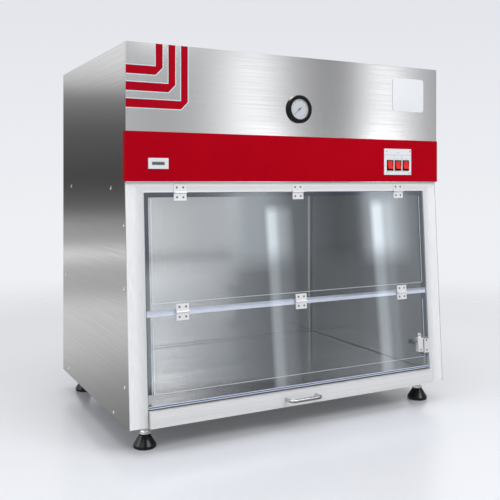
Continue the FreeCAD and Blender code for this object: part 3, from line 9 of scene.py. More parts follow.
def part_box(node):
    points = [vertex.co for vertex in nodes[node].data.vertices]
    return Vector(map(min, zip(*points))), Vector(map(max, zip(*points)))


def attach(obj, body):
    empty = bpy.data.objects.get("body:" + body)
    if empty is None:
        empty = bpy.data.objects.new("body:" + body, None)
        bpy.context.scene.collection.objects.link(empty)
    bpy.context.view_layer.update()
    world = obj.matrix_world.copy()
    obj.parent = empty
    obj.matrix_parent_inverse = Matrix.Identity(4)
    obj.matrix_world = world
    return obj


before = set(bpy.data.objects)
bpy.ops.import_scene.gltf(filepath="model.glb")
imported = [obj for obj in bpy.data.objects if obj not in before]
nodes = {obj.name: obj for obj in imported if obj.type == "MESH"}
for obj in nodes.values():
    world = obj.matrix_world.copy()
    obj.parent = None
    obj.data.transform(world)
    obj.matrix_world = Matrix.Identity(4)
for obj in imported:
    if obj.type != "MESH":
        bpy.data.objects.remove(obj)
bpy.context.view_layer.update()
bpy.ops.object.select_all(action="DESELECT")

# Camera at the photograph's view: level, left of the cabinet, with the frame shifted down
# so that the upright edges stay parallel.
bpy.ops.object.camera_add(location=(-1.05194, -1.98753, 0.65957),
                          rotation=(math.pi / 2, 0, math.radians(-27.79)))
camera = bpy.context.object
camera.name = "view_camera"
camera.data.lens = 52.27
camera.data.sensor_width = 36.0
camera.data.shift_y = -0.1344
bpy.context.scene.camera = camera
bpy.context.scene.view_settings.view_transform = "Standard"

# Floor of the studio: one wide pale sheet with a faint polish that keeps the cabinet's
# soft shadow and a weak reflection of its front.
bpy.ops.object.select_all(action="DESELECT")
bpy.ops.mesh.primitive_plane_add(size=14.0, location=(0, 0, 0))
floor = bpy.context.object
floor.name = "studio_floor"
floor_finish = bpy.data.materials.new("studio_floor_sheet")
floor_finish.use_nodes = True
floor_look = floor_finish.node_tree.nodes["Principled BSDF"]
floor_look.inputs["Base Color"].default_value = (0.80, 0.81, 0.84, 1)
floor_look.inputs["Roughness"].default_value = 0.22
floor_look.inputs["Specular IOR Level"].default_value = 0.35
floor_tree = floor_finish.node_tree
floor_place = floor_tree.nodes.new("ShaderNodeTexCoord")
floor_reach = floor_tree.nodes.new("ShaderNodeVectorMath")
floor_reach.operation = "LENGTH"
floor_tree.links.new(floor_place.outputs["Object"], floor_reach.inputs[0])
floor_fade = floor_tree.nodes.new("ShaderNodeMapRange")
floor_fade.interpolation_type = "SMOOTHSTEP"
floor_fade.inputs["From Min"].default_value = 0.9
floor_fade.inputs["From Max"].default_value = 3.2
floor_tree.links.new(floor_reach.outputs["Value"], floor_fade.inputs["Value"])
floor_clear = floor_tree.nodes.new("ShaderNodeBsdfTransparent")
floor_edge = floor_tree.nodes.new("ShaderNodeMixShader")
floor_tree.links.new(floor_fade.outputs["Result"], floor_edge.inputs["Fac"])
floor_tree.links.new(floor_look.outputs["BSDF"], floor_edge.inputs[1])
floor_tree.links.new(floor_clear.outputs["BSDF"], floor_edge.inputs[2])
floor_tree.links.new(floor_edge.outputs["Shader"], floor_tree.nodes["Material Output"].inputs["Surface"])
floor.data.materials.append(floor_finish)
floor.visible_glossy = False

# Studio air: an even pale surround that straight views see. Polished steel and glass see the
# room: in front its tones change with the angle from straight ahead and with height, with two
# tall strip lamps to the right; behind it is banded by height alone.
world = bpy.data.worlds.new("studio_air")
bpy.context.scene.world = world
world.use_nodes = True
air = world.node_tree
air.nodes.clear()


def air_ramp(stops):
    """A colour ramp with its stops as (place, grey or colour)."""
    ramp = air.nodes.new("ShaderNodeValToRGB")
    marks = ramp.color_ramp.elements
    marks.remove(marks[1])
    for number, (spot, tone) in enumerate(stops):
        mark = marks.new(spot) if number else marks[0]
        mark.position = spot
        mark.color = (*tone, 1) if isinstance(tone, tuple) else (tone, tone, tone, 1)
    return ramp


def air_range(source, low, high):
    span = air.nodes.new("ShaderNodeMapRange")
    span.inputs["From Min"].default_value = low
    span.inputs["From Max"].default_value = high
    air.links.new(source, span.inputs["Value"])
    return span.outputs["Result"]


def air_mix(factor, one, two):
    mix = air.nodes.new("ShaderNodeMix")
    mix.data_type = "RGBA"
    air.links.new(factor, mix.inputs["Factor"])
    air.links.new(one, mix.inputs["A"])
    air.links.new(two, mix.inputs["B"])
    return mix.outputs["Result"]


air_place = air.nodes.new("ShaderNodeTexCoord")
air_split = air.nodes.new("ShaderNodeSeparateXYZ")
air.links.new(air_place.outputs["Generated"], air_split.inputs["Vector"])
air_view = air_ramp([(0.0, (0.86, 0.87, 0.90)), (0.5, (0.86, 0.87, 0.905)), (0.62, (0.83, 0.845, 0.885)),
                     (1.0, (0.76, 0.77, 0.81))])
air.links.new(air_range(air_split.outputs["Z"], -0.4, 0.3), air_view.inputs["Fac"])
air_rear = air_ramp([(0.0, 0.28), (0.10, 0.40), (0.22, 0.76), (0.32, 0.88), (0.36, 0.55), (0.43, 0.60),
                     (0.46, 1.20), (0.49, 0.46), (0.54, 0.46), (0.58, 0.16), (0.66, 0.08), (0.80, 0.14),
                     (0.89, 0.28), (0.93, 0.75), (1.0, 1.10)])
air.links.new(air_range(air_split.outputs["Z"], -0.32, 0.17), air_rear.inputs["Fac"])
air_back = air.nodes.new("ShaderNodeMath")
air_back.operation = "MULTIPLY"
air_back.inputs[1].default_value = -1.0
air.links.new(air_split.outputs["Y"], air_back.inputs[0])
air_turn = air.nodes.new("ShaderNodeMath")
air_turn.operation = "ARCTAN2"
air.links.new(air_split.outputs["X"], air_turn.inputs[0])
air.links.new(air_back.outputs["Value"], air_turn.inputs[1])
AIR_SWEEP = 50
air_turned = air_range(air_turn.outputs["Value"], math.radians(-AIR_SWEEP), math.radians(AIR_SWEEP))


def air_round(*stops):
    """Tones of the room round the front, each stop an angle from straight ahead and its tone."""
    ring = air_ramp([((angle + AIR_SWEEP) / (2 * AIR_SWEEP), tone) for angle, tone in stops])
    air.links.new(air_turned, ring.inputs["Fac"])
    return ring.outputs["Color"]


# level with the head, then below it, low over the floor, and high up
air_even = air_round((-50, 0.35), (-20, 0.50), (0, 0.80), (18, 0.55), (20, 0.44), (23.5, 0.46), (25.6, 0.80),
                     (27.0, 1.45), (28.8, 1.45), (31.0, 0.50), (32.6, 0.34), (34.6, 0.14), (36.2, 0.25),
                     (37.4, 1.70), (39.0, 1.70), (40.4, 0.50), (42.0, 0.36), (50, 0.38))
air_under = air_round((-50, 0.35), (-36, 0.30), (-30, 0.30), (-20, 0.6), (0, 1.10), (20, 1.10), (25, 0.80),
                      (28.6, 0.50), (30, 0.35), (32, 0.25), (36, 0.25), (38.5, 0.50), (50, 0.40))
air_deep = air_round((-50, 0.50), (-39, 0.60), (-36.5, 0.90), (-34, 1.10), (-32.5, 0.30), (-20, 0.3),
                     (0, 0.40), (20, 0.32), (23, 0.34), (26, 0.20), (30, 0.12), (36, 0.14), (50, 0.30))
air_above = air_round((-50, 1.8), (-41, 2.2), (-37, 2.6), (-35, 1.8), (-33, 0.9), (-30, 0.4), (-10, 0.4),
                      (18, 0.40), (19.4, 0.60), (20.1, 3.4), (21.4, 3.4), (22.6, 0.60), (24.5, 0.40),
                      (28, 0.25), (31, 0.15), (34, 0.25), (38, 0.5), (50, 0.5))
air_floor = air_mix(air_range(air_split.outputs["Z"], -0.155, -0.165), air_under, air_deep)
air_front = air_mix(air_range(air_split.outputs["Z"], -0.02, 0.01), air_floor, air_even)
air_front = air_mix(air_range(air_split.outputs["Z"], 0.185, 0.215), air_front, air_above)
# a thin bright line low on the left, as of a table's edge
air_line = air_ramp([(0.0, 0.0), (0.35, 0.0), (0.5, 0.40), (0.65, 0.0), (1.0, 0.0)])
air.links.new(air_range(air_split.outputs["Z"], -0.13, -0.08), air_line.inputs["Fac"])
air_left = air_round((-50, 1.0), (-30, 1.0), (-28, 0.0), (50, 0.0))
# the two strip lamps, each with a dimmer right half
air_strips = air_round((-50, 0.0), (29.0, 0.0), (29.2, 1.0), (29.9, 1.0), (30.1, 0.35), (30.8, 0.30),
                       (31.0, 0.0), (37.3, 0.0), (37.5, 1.0), (38.0, 1.0), (38.2, 0.35), (38.9, 0.30),
                       (39.1, 0.0), (50, 0.0))
air_strip_reach = air_ramp([(0.0, 1.0), (0.40, 1.0), (0.55, 2.3), (0.78, 2.3), (0.86, 0.0), (1.0, 0.0)])
air.links.new(air_range(air_split.outputs["Z"], -0.08, 0.10), air_strip_reach.inputs["Fac"])


def air_pair(operation, one, two):
    pair = air.nodes.new("ShaderNodeVectorMath")
    pair.operation = operation
    air.links.new(one, pair.inputs[0])
    air.links.new(two, pair.inputs[1])
    return pair


air_glint = air_pair("MULTIPLY", air_line.outputs["Color"], air_left)
air_wall = air_pair("ADD", air_front, air_glint.outputs["Vector"])
air_strip_light = air_pair("MULTIPLY", air_strips, air_strip_reach.outputs["Color"])
air_lit = air_pair("ADD", air_wall.outputs["Vector"], air_strip_light.outputs["Vector"])
air_room = air_mix(air_range(air_split.outputs["Y"], -0.1, 0.25), air_lit.outputs["Vector"],
                   air_rear.outputs["Color"])
air_fill = air.nodes.new("ShaderNodeRGB")
air_fill.outputs["Color"].default_value = (0.50, 0.515, 0.54, 1)
air_ray = air.nodes.new("ShaderNodeLightPath")
air_polish = air_mix(air_ray.outputs["Is Glossy Ray"], air_fill.outputs["Color"], air_room)
air_seen = air.nodes.new("ShaderNodeMath")
air_seen.operation = "MAXIMUM"
air.links.new(air_ray.outputs["Is Camera Ray"], air_seen.inputs[0])
air.links.new(air_ray.outputs["Is Transmission Ray"], air_seen.inputs[1])
air_light = air.nodes.new("ShaderNodeBackground")
air_shown = air_mix(air_seen.outputs["Value"], air_polish, air_view.outputs["Color"])
air.links.new(air_shown, air_light.inputs["Color"])
air_out = air.nodes.new("ShaderNodeOutputWorld")
air.links.new(air_light.outputs["Background"], air_out.inputs["Surface"])


# Lamps: a broad soft box high in front, another overhead and a weak one at the left rear,
# all plain white.
def soft_box(name, place, aim, size, power):
    bpy.ops.object.light_add(type="AREA", location=place)
    lamp = bpy.context.object
    lamp.name = name
    lamp.data.shape = "RECTANGLE"
    lamp.data.size = size[0]
    lamp.data.size_y = size[1]
    lamp.data.energy = power
    lamp.rotation_euler = (Vector(aim) - Vector(place)).to_track_quat("-Z", "Y").to_euler()


soft_box("lamp_front", (0.9, -2.6, 2.5), (0, 0, 0.5), (2.0, 1.2), 42)
soft_box("lamp_top", (-0.2, -0.2, 3.0), (0, 0, 0.5), (2.4, 1.6), 32)
soft_box("lamp_left", (-3.0, 0.4, 1.5), (-0.4, 0, 0.5), (1.4, 1.0), 12)


# Sheet steel, stainless, brushed in one direction on the rolling line: the lower cabinet's
# outer sheets. Fine streaks run along the brushing, and broad soft bands cross them.
def brushed_sheet(name, colour, rough, along, band_axis, band_scale, band_depth, metal=1.0, grain=420.0,
                  relief_depth=0.06, shade=None):
    finish = bpy.data.materials.new(name)
    finish.use_nodes = True
    tree = finish.node_tree
    look = tree.nodes["Principled BSDF"]
    look.inputs["Metallic"].default_value = metal
    place = tree.nodes.new("ShaderNodeTexCoord")
    stretch = tree.nodes.new("ShaderNodeMapping")
    scale = [grain] * 3
    scale["xyz".index(along)] = grain / 190
    stretch.inputs["Scale"].default_value = scale
    tree.links.new(place.outputs["Object"], stretch.inputs["Vector"])
    streaks = tree.nodes.new("ShaderNodeTexNoise")
    streaks.inputs["Scale"].default_value = 1.0
    streaks.inputs["Detail"].default_value = 4.0
    streaks.inputs["Roughness"].default_value = 0.62
    tree.links.new(stretch.outputs["Vector"], streaks.inputs["Vector"])
    spread = tree.nodes.new("ShaderNodeMapping")
    wide = [0.0] * 3
    wide["xyz".index(band_axis)] = band_scale
    spread.inputs["Scale"].default_value = wide
    tree.links.new(place.outputs["Object"], spread.inputs["Vector"])
    bands = tree.nodes.new("ShaderNodeTexNoise")
    bands.inputs["Scale"].default_value = 1.0
    bands.inputs["Detail"].default_value = 1.0
    tree.links.new(spread.outputs["Vector"], bands.inputs["Vector"])
    band_tone = tree.nodes.new("ShaderNodeMapRange")
    band_tone.inputs["From Min"].default_value = 0.3
    band_tone.inputs["From Max"].default_value = 0.7
    band_tone.inputs["To Min"].default_value = 1.0 - band_depth
    band_tone.inputs["To Max"].default_value = 1.0
    tree.links.new(bands.outputs["Fac"], band_tone.inputs["Value"])
    streak_tone = tree.nodes.new("ShaderNodeMapRange")
    streak_tone.inputs["From Min"].default_value = 0.3
    streak_tone.inputs["From Max"].default_value = 0.7
    streak_tone.inputs["To Min"].default_value = 0.88
    streak_tone.inputs["To Max"].default_value = 1.03
    tree.links.new(streaks.outputs["Fac"], streak_tone.inputs["Value"])
    tone = tree.nodes.new("ShaderNodeMath")
    tone.operation = "MULTIPLY"
    tree.links.new(band_tone.outputs["Result"], tone.inputs[0])
    tree.links.new(streak_tone.outputs["Result"], tone.inputs[1])
    # shade: optional painted shade, a grey ramp along one axis that darkens or lightens the colour
    if shade:
        axis, low, high, stops = shade
        split = tree.nodes.new("ShaderNodeSeparateXYZ")
        tree.links.new(place.outputs["Object"], split.inputs["Vector"])
        across = tree.nodes.new("ShaderNodeMapRange")
        across.inputs["From Min"].default_value = low
        across.inputs["From Max"].default_value = high
        tree.links.new(split.outputs[axis.upper()], across.inputs["Value"])
        fall = tree.nodes.new("ShaderNodeValToRGB")
        marks = fall.color_ramp.elements
        marks.remove(marks[1])
        for number, (spot, grey) in enumerate(stops):
            mark = marks.new(spot) if number else marks[0]
            mark.position = spot
            mark.color = (grey, grey, grey, 1)
        tree.links.new(across.outputs["Result"], fall.inputs["Fac"])
        shaded = tree.nodes.new("ShaderNodeMath")
        shaded.operation = "MULTIPLY"
        tree.links.new(tone.outputs["Value"], shaded.inputs[0])
        tree.links.new(fall.outputs["Color"], shaded.inputs[1])
        tone = shaded
    tint = tree.nodes.new("ShaderNodeVectorMath")
    tint.operation = "SCALE"
    tint.inputs[0].default_value = colour
    tree.links.new(tone.outputs["Value"], tint.inputs["Scale"])
    tree.links.new(tint.outputs["Vector"], look.inputs["Base Color"])
    gloss = tree.nodes.new("ShaderNodeMapRange")
    gloss.inputs["To Min"].default_value = rough + 0.07
    gloss.inputs["To Max"].default_value = rough - 0.05
    tree.links.new(streaks.outputs["Fac"], gloss.inputs["Value"])
    tree.links.new(gloss.outputs["Result"], look.inputs["Roughness"])
    relief = tree.nodes.new("ShaderNodeBump")
    relief.inputs["Strength"].default_value = relief_depth
    relief.inputs["Distance"].default_value = 0.0004
    tree.links.new(streaks.outputs["Fac"], relief.inputs["Height"])
    tree.links.new(relief.outputs["Normal"], look.inputs["Normal"])
    return finish


def dress(finish, *names):
    """Gives CAD nodes their finish in every slot."""
    for name in names:
        mesh = nodes[name].data
        if not mesh.materials:
            mesh.materials.append(finish)
        for number in range(len(mesh.materials)):
            mesh.materials[number] = finish


side_steel = brushed_sheet("side_sheet_steel", (0.58, 0.58, 0.585), 0.13, "y", "z", 7.0, 0.06, grain=700.0)
dress(side_steel, "side_panel_left", "side_panel_right", "back_panel", "head_back")
inner_steel = brushed_sheet("hidden_sheet_steel", (0.55, 0.55, 0.56), 0.42, "x", "y", 3.0, 0.15)
dress(inner_steel, "base_pan", "bearer_left", "bearer_right", "fan_deck", "motor_bridge")

# Door frame: two folded stiles and a mitred rail in bright sheet, brushed lengthways. The stiles' leaning
# faces are near white at their outer edges, with painted shade that greys them towards the doors; the rail
# has painted shade across its middle, and its lower and upper edges are left bright as painted highlights.
# painted shade: the left stile goes from near white at its outer edge to grey at the door
left_stile_painted_shade = ("x", -0.495, -0.435, [(0.0, 1.0), (0.35, 0.97), (0.75, 0.76), (1.0, 0.70)])
left_stile_shaded_steel = brushed_sheet("left_stile_shaded_steel", (1.0, 1.0, 1.0), 0.36, "z", "x", 30.0, 0.02,
                                 metal=0.08, shade=left_stile_painted_shade)
dress(left_stile_shaded_steel, "stile_left")
# painted shade: the right stile goes from grey at the door to near white at its outer edge
right_stile_painted_shade = ("x", 0.435, 0.495, [(0.0, 0.70), (0.30, 0.80), (0.60, 0.97), (1.0, 1.0)])
right_stile_shaded_steel = brushed_sheet("right_stile_shaded_steel", (0.98, 0.98, 0.99), 0.36, "z", "x", 30.0, 0.02,
                                  metal=0.08, shade=right_stile_painted_shade)
dress(right_stile_shaded_steel, "stile_right")
# painted shade across the rail's middle, with painted highlights along its lower and upper edges
rail_painted_shade = ("z", 0.630, 0.662, [(0.0, 1.0), (0.20, 1.0), (0.35, 0.86), (0.62, 0.88), (0.80, 1.0),
                                 (1.0, 1.0)])
rail_shaded_steel = brushed_sheet("rail_shaded_steel", (0.98, 0.98, 0.99), 0.34, "x", "z", 30.0, 0.03,
                           metal=0.10, shade=rail_painted_shade)
dress(rail_shaded_steel, "top_rail")
tray_steel = brushed_sheet("tray_front_steel", (0.92, 0.92, 0.92), 0.30, "x", "z", 20.0, 0.05, metal=0.25)
dress(tray_steel, "tray_front")

# Chamber: a folded liner, a work surface and a slotted diffuser in a quieter grey sheet that shows its
# surroundings softly. The liner has painted shade, darker towards its right wall.
# painted shade: the liner darkens from its left wall towards its right wall
liner_painted_shade = ("x", -0.432, 0.432, [(0.0, 1.0), (0.25, 0.95), (0.55, 0.72), (0.80, 0.50), (0.97, 0.44),
                                   (0.985, 0.58), (1.0, 0.58)])
liner_shaded_steel = brushed_sheet("liner_shaded_steel", (0.86, 0.875, 0.90), 0.15, "z", "x", 6.0, 0.04, grain=1300.0,
                            relief_depth=0.004, shade=liner_painted_shade)
dress(liner_shaded_steel, "chamber_liner")
worktop_steel = brushed_sheet("worktop_steel", (0.66, 0.65, 0.64), 0.12, "x", "y", 14.0, 0.30, grain=900.0,
                              relief_depth=0.01)
dress(worktop_steel, "work_surface", "diffuser", "tray_pan")

# Head: a wrapper folded over the sides and top, and a front pan brushed along its length,
# bright, with slow bands of light across it.
head_steel = brushed_sheet("head_front_steel", (0.78, 0.785, 0.80), 0.12, "x", "x", 5.5, 0.01, grain=900.0,
                           relief_depth=0.006)
dress(head_steel, "head_front")
wrapper_steel = brushed_sheet("head_wrapper_steel", (0.58, 0.58, 0.585), 0.13, "y", "z", 9.0, 0.06,
                              grain=700.0)
dress(wrapper_steel, "head_wrapper", "side_cowl")


# Enamel: red coat on the band and on the nested corner stripes, smooth with a slight orange
# peel under a clear gloss.
def enamel(name, colour, rough, shine=0.5):
    finish = bpy.data.materials.new(name)
    finish.use_nodes = True
    tree = finish.node_tree
    look = tree.nodes["Principled BSDF"]
    place = tree.nodes.new("ShaderNodeTexCoord")
    mottle = tree.nodes.new("ShaderNodeTexNoise")
    mottle.inputs["Scale"].default_value = 9.0
    mottle.inputs["Detail"].default_value = 2.0
    tree.links.new(place.outputs["Object"], mottle.inputs["Vector"])
    tones = tree.nodes.new("ShaderNodeValToRGB")
    tones.color_ramp.elements[0].position = 0.35
    tones.color_ramp.elements[1].position = 0.65
    tones.color_ramp.elements[0].color = [part * 0.93 for part in colour] + [1]
    tones.color_ramp.elements[1].color = list(colour) + [1]
    tree.links.new(mottle.outputs["Fac"], tones.inputs["Fac"])
    tree.links.new(tones.outputs["Color"], look.inputs["Base Color"])
    look.inputs["Roughness"].default_value = rough
    look.inputs["Specular IOR Level"].default_value = shine
    peel = tree.nodes.new("ShaderNodeTexNoise")
    peel.inputs["Scale"].default_value = 420.0
    peel.inputs["Detail"].default_value = 1.0
    tree.links.new(place.outputs["Object"], peel.inputs["Vector"])
    relief = tree.nodes.new("ShaderNodeBump")
    relief.inputs["Strength"].default_value = 0.06
    relief.inputs["Distance"].default_value = 0.0003
    tree.links.new(peel.outputs["Fac"], relief.inputs["Height"])
    tree.links.new(relief.outputs["Normal"], look.inputs["Normal"])
    return finish


band_enamel = enamel("band_red_enamel", (0.45, 0.0008, 0.009), 0.42, 0.02)
dress(band_enamel, "red_band")
stripe_enamel = enamel("stripe_red_enamel", (0.45, 0.001, 0.012), 0.40, 0.03)
dress(stripe_enamel, "corner_stripes")


# Small parts: moulded plastic switches, gauge, meter, plate and strip, plated leaves, bolt and
# pull, painted boxes, the alloy fan wheel, glass lamps, and filters of paper and fibre. Each
# has a fine grain and small changes of tone.
def moulded(name, colour, rough, grain=900.0, coat=0.0, metal=0.0, shine=0.5):
    finish = enamel(name, colour, rough, shine)
    look = finish.node_tree.nodes["Principled BSDF"]
    look.inputs["Coat Weight"].default_value = coat
    look.inputs["Coat Roughness"].default_value = 0.06
    look.inputs["Metallic"].default_value = metal
    for part in finish.node_tree.nodes:
        if part.type == "TEX_NOISE" and part.inputs["Scale"].default_value > 100:
            part.inputs["Scale"].default_value = grain
    return finish


white_moulding = moulded("white_moulding", (0.86, 0.87, 0.89), 0.35)
dress(white_moulding, "blank_plate", "hour_meter", "switch_plate", "gauge_dial", "lamp_holders")
black_moulding = moulded("black_moulding", (0.010, 0.010, 0.012), 0.24, shine=0.12)
dress(black_moulding, "gauge_case", "switch_bezels", "gauge_needle", "mains_inlet")
rocker_moulding = moulded("rocker_red_moulding", (0.85, 0.02, 0.015), 0.26, coat=0.1, shine=0.2)
dress(rocker_moulding, "rocker_left", "rocker_middle", "rocker_right")
leaf_plating = moulded("leaf_plated_steel", (0.93, 0.93, 0.94), 0.30, metal=0.4)
dress(leaf_plating, "rail_hinge_leaves", "upper_hinge_leaves", "lower_hinge_leaves", "latch_keeper",
      "latch_body")
bolt_plating = moulded("bolt_blued_steel", (0.25, 0.28, 0.35), 0.22, metal=0.8)
dress(bolt_plating, "latch_bolt")
pull_chrome = moulded("tray_pull_chrome", (0.50, 0.50, 0.51), 0.14, metal=1.0)
dress(pull_chrome, "tray_handle")
grey_box = moulded("box_paint", (0.55, 0.56, 0.57), 0.45)
dress(grey_box, "ballast", "fan_motor")
fan_metal = moulded("fan_wheel_aluminium", (0.72, 0.73, 0.74), 0.38, metal=1.0)
dress(fan_metal, "impeller", "filter_frame")
paper = moulded("filter_paper", (0.86, 0.86, 0.83), 0.85, grain=1600.0)
dress(paper, "filter_media")
pad_fibre = moulded("prefilter_fibre", (0.74, 0.77, 0.80), 0.95, grain=2200.0)
dress(pad_fibre, "prefilter")
strip_moulding = moulded("joint_strip_moulding", (0.84, 0.87, 0.98), 0.35)
dress(strip_moulding, "joint_strip")
lamp_glass = moulded("lamp_tube_glass", (0.86, 0.88, 0.90), 0.12)
dress(lamp_glass, "tube_white", "tube_germicidal")


# Feet: a glossy black moulded bell with a nickel collar at its neck, screwed up into the
# cabinet's base by a plated stem.
COLLAR_FOOT = 0.0345


def foot_finish():
    finish = moulded("foot_black_and_nickel", (0.008, 0.008, 0.010), 0.22, coat=0.15, shine=0.2)
    tree = finish.node_tree
    look = tree.nodes["Principled BSDF"]
    place = [part for part in tree.nodes if part.type == "TEX_COORD"][0]
    tones = [part for part in tree.nodes if part.type == "VALTORGB"][0]
    split = tree.nodes.new("ShaderNodeSeparateXYZ")
    tree.links.new(place.outputs["Object"], split.inputs["Vector"])
    above = tree.nodes.new("ShaderNodeMath")
    above.operation = "GREATER_THAN"
    above.inputs[1].default_value = COLLAR_FOOT
    tree.links.new(split.outputs["Z"], above.inputs[0])
    blend = tree.nodes.new("ShaderNodeMix")
    blend.data_type = "RGBA"
    blend.inputs["B"].default_value = (0.86, 0.85, 0.83, 1)
    tree.links.new(above.outputs["Value"], blend.inputs["Factor"])
    tree.links.new(tones.outputs["Color"], blend.inputs["A"])
    tree.links.new(blend.outputs["Result"], look.inputs["Base Color"])
    tree.links.new(above.outputs["Value"], look.inputs["Metallic"])
    return finish


dress(foot_finish(), "foot_front_left", "foot_front_right", "foot_back_left", "foot_back_right")


# Doors: clear acrylic panes. Light passes straight through with a trace of haze, and the
# faces give a sharp weak mirror image that grows towards the edges of view.
def clear_sheet(name, tint, haze, rough):
    finish = bpy.data.materials.new(name)
    finish.use_nodes = True
    tree = finish.node_tree
    look = tree.nodes["Principled BSDF"]
    look.inputs["Base Color"].default_value = (*tint, 1)
    look.inputs["Roughness"].default_value = 0.3
    look.inputs["Specular IOR Level"].default_value = 0.0
    look.inputs["Alpha"].default_value = haze
    place = tree.nodes.new("ShaderNodeTexCoord")
    smear = tree.nodes.new("ShaderNodeTexNoise")
    smear.inputs["Scale"].default_value = 14.0
    tree.links.new(place.outputs["Object"], smear.inputs["Vector"])
    dull = tree.nodes.new("ShaderNodeMapRange")
    dull.inputs["To Min"].default_value = rough * 0.5
    dull.inputs["To Max"].default_value = rough * 1.5
    tree.links.new(smear.outputs["Fac"], dull.inputs["Value"])
    shine = tree.nodes.new("ShaderNodeBsdfGlossy")
    tree.links.new(dull.outputs["Result"], shine.inputs["Roughness"])
    shine.inputs["Color"].default_value = (0.84, 0.93, 1.0, 1)
    edge = tree.nodes.new("ShaderNodeFresnel")
    edge.inputs["IOR"].default_value = 1.49
    lift = tree.nodes.new("ShaderNodeMath")
    lift.operation = "MULTIPLY"
    lift.use_clamp = True
    lift.inputs[1].default_value = 5.0
    tree.links.new(edge.outputs["Fac"], lift.inputs[0])
    side = tree.nodes.new("ShaderNodeNewGeometry")
    outer = tree.nodes.new("ShaderNodeMath")
    outer.operation = "SUBTRACT"
    outer.inputs[0].default_value = 1.0
    tree.links.new(side.outputs["Backfacing"], outer.inputs[1])
    mirror = tree.nodes.new("ShaderNodeMath")
    mirror.operation = "MULTIPLY"
    tree.links.new(lift.outputs["Value"], mirror.inputs[0])
    tree.links.new(outer.outputs["Value"], mirror.inputs[1])
    both = tree.nodes.new("ShaderNodeMixShader")
    tree.links.new(mirror.outputs["Value"], both.inputs["Fac"])
    tree.links.new(look.outputs["BSDF"], both.inputs[1])
    tree.links.new(shine.outputs["BSDF"], both.inputs[2])
    tree.links.new(both.outputs["Shader"], tree.nodes["Material Output"].inputs["Surface"])
    return finish


pane_acrylic = clear_sheet("pane_acrylic", (0.80, 0.87, 0.95), 0.015, 0.006)
dress(pane_acrylic, "upper_pane", "lower_pane")
lens_glass = clear_sheet("lens_glass", (0.95, 0.95, 0.95), 0.01, 0.02)
dress(lens_glass, "gauge_lens")
seal_moulding = moulded("seal_navy_moulding", (0.012, 0.020, 0.045), 0.25, shine=0.3)
dress(seal_moulding, "upper_seal", "lower_seal")


# Screws of the outer sheets: pan heads of plated steel with a sunk drive, driven through the
# side, back and head sheets into the folded flanges behind.
def pan_head(name, radius, height):
    """One pan-head screw standing on its seat at the origin, its drive upwards."""
    bpy.ops.object.select_all(action="DESELECT")
    bpy.ops.mesh.primitive_cylinder_add(vertices=24, radius=radius, depth=height, location=(0, 0, height / 2))
    head = bpy.context.object
    head.name = name
    bpy.ops.object.mode_set(mode="EDIT")
    mesh = bmesh.from_edit_mesh(head.data)
    for face in mesh.faces:
        face.select = face.normal.z > 0.9
    bmesh.update_edit_mesh(head.data)
    bpy.ops.mesh.inset(thickness=radius * 0.32, depth=height * 0.28)
    bpy.ops.mesh.inset(thickness=radius * 0.30, depth=height * 0.06)
    bpy.ops.mesh.inset(thickness=radius * 0.05, depth=-height * 0.55)
    bpy.ops.object.mode_set(mode="OBJECT")
    bpy.ops.object.shade_smooth_by_angle(angle=math.radians(35))
    return head


def set_screws(name, master, seats, finish, body):
    """Copies the master to each seat, given as a place and the way its head faces."""
    copies = []
    for number, (place, facing) in enumerate(seats):
        copy = master.copy()
        copy.data = master.data.copy()
        bpy.context.collection.objects.link(copy)
        turn = Vector(facing).to_track_quat("Z", "Y").to_matrix().to_4x4()
        spin = Matrix.Rotation(math.radians(37 * number % 90), 4, "Z")
        copy.data.transform(Matrix.Translation(Vector(place)) @ turn @ spin)
        copies.append(copy)
    bpy.ops.object.select_all(action="DESELECT")
    for copy in copies:
        copy.select_set(True)
    bpy.context.view_layer.objects.active = copies[0]
    if len(copies) > 1:
        bpy.ops.object.join()
    whole = bpy.context.object
    whole.name = name
    whole.data.materials.clear()
    whole.data.materials.append(finish)
    bpy.data.objects.remove(master)
    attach(whole, body)
    return whole


SIDE = 0.495
side_screw_spots = [(0.2516, 0.649), (-0.1584, 0.6455), (-0.2669, 0.5554), (0.3231, 0.3669),
                    (-0.2692, 0.3989), (0.2817, 0.0777), (-0.2731, 0.1564), (-0.1826, 0.0708)]
screw_steel = moulded("screw_plated_steel", (0.90, 0.90, 0.91), 0.18, metal=1.0)
for side, facing in (("left", -1), ("right", 1)):
    seats = [((SIDE * facing, y, z), (facing, 0, 0)) for y, z in side_screw_spots]
    set_screws("side_screws_" + side, pan_head("side_screw", 0.0048, 0.0012), seats, screw_steel, "cabinet")
BACK = 0.356
back_spots = [(x, z) for x in (-0.465, -0.155, 0.155, 0.465) for z in (0.085, 0.635, 0.690, 0.985)]
back_spots += [(x, z) for x in (-0.465, 0.465) for z in (0.268, 0.452, 0.838)]
set_screws("back_screws", pan_head("back_screw", 0.0048, 0.0022),
           [((x, BACK, z), (0, 1, 0)) for x, z in back_spots], screw_steel, "cabinet")

# Hinge screws: two small dark steel screws in every leaf, driven into the rail or the panes.
# Places on the leaning front are given by their height along it.
LEAN_RUN = 35.8
LEAN_RISE = 600
LEAN = math.atan(LEAN_RUN / LEAN_RISE)
LOWER_FRONT = -0.3082
FLOOR_LINE = 0.061


def on_lean(across, up, out):
    """A place on the leaning front, from the height along it and the distance out from it."""
    return (across, LOWER_FRONT + up * math.sin(LEAN) - out * math.cos(LEAN),
            FLOOR_LINE + up * math.cos(LEAN) + out * math.sin(LEAN))


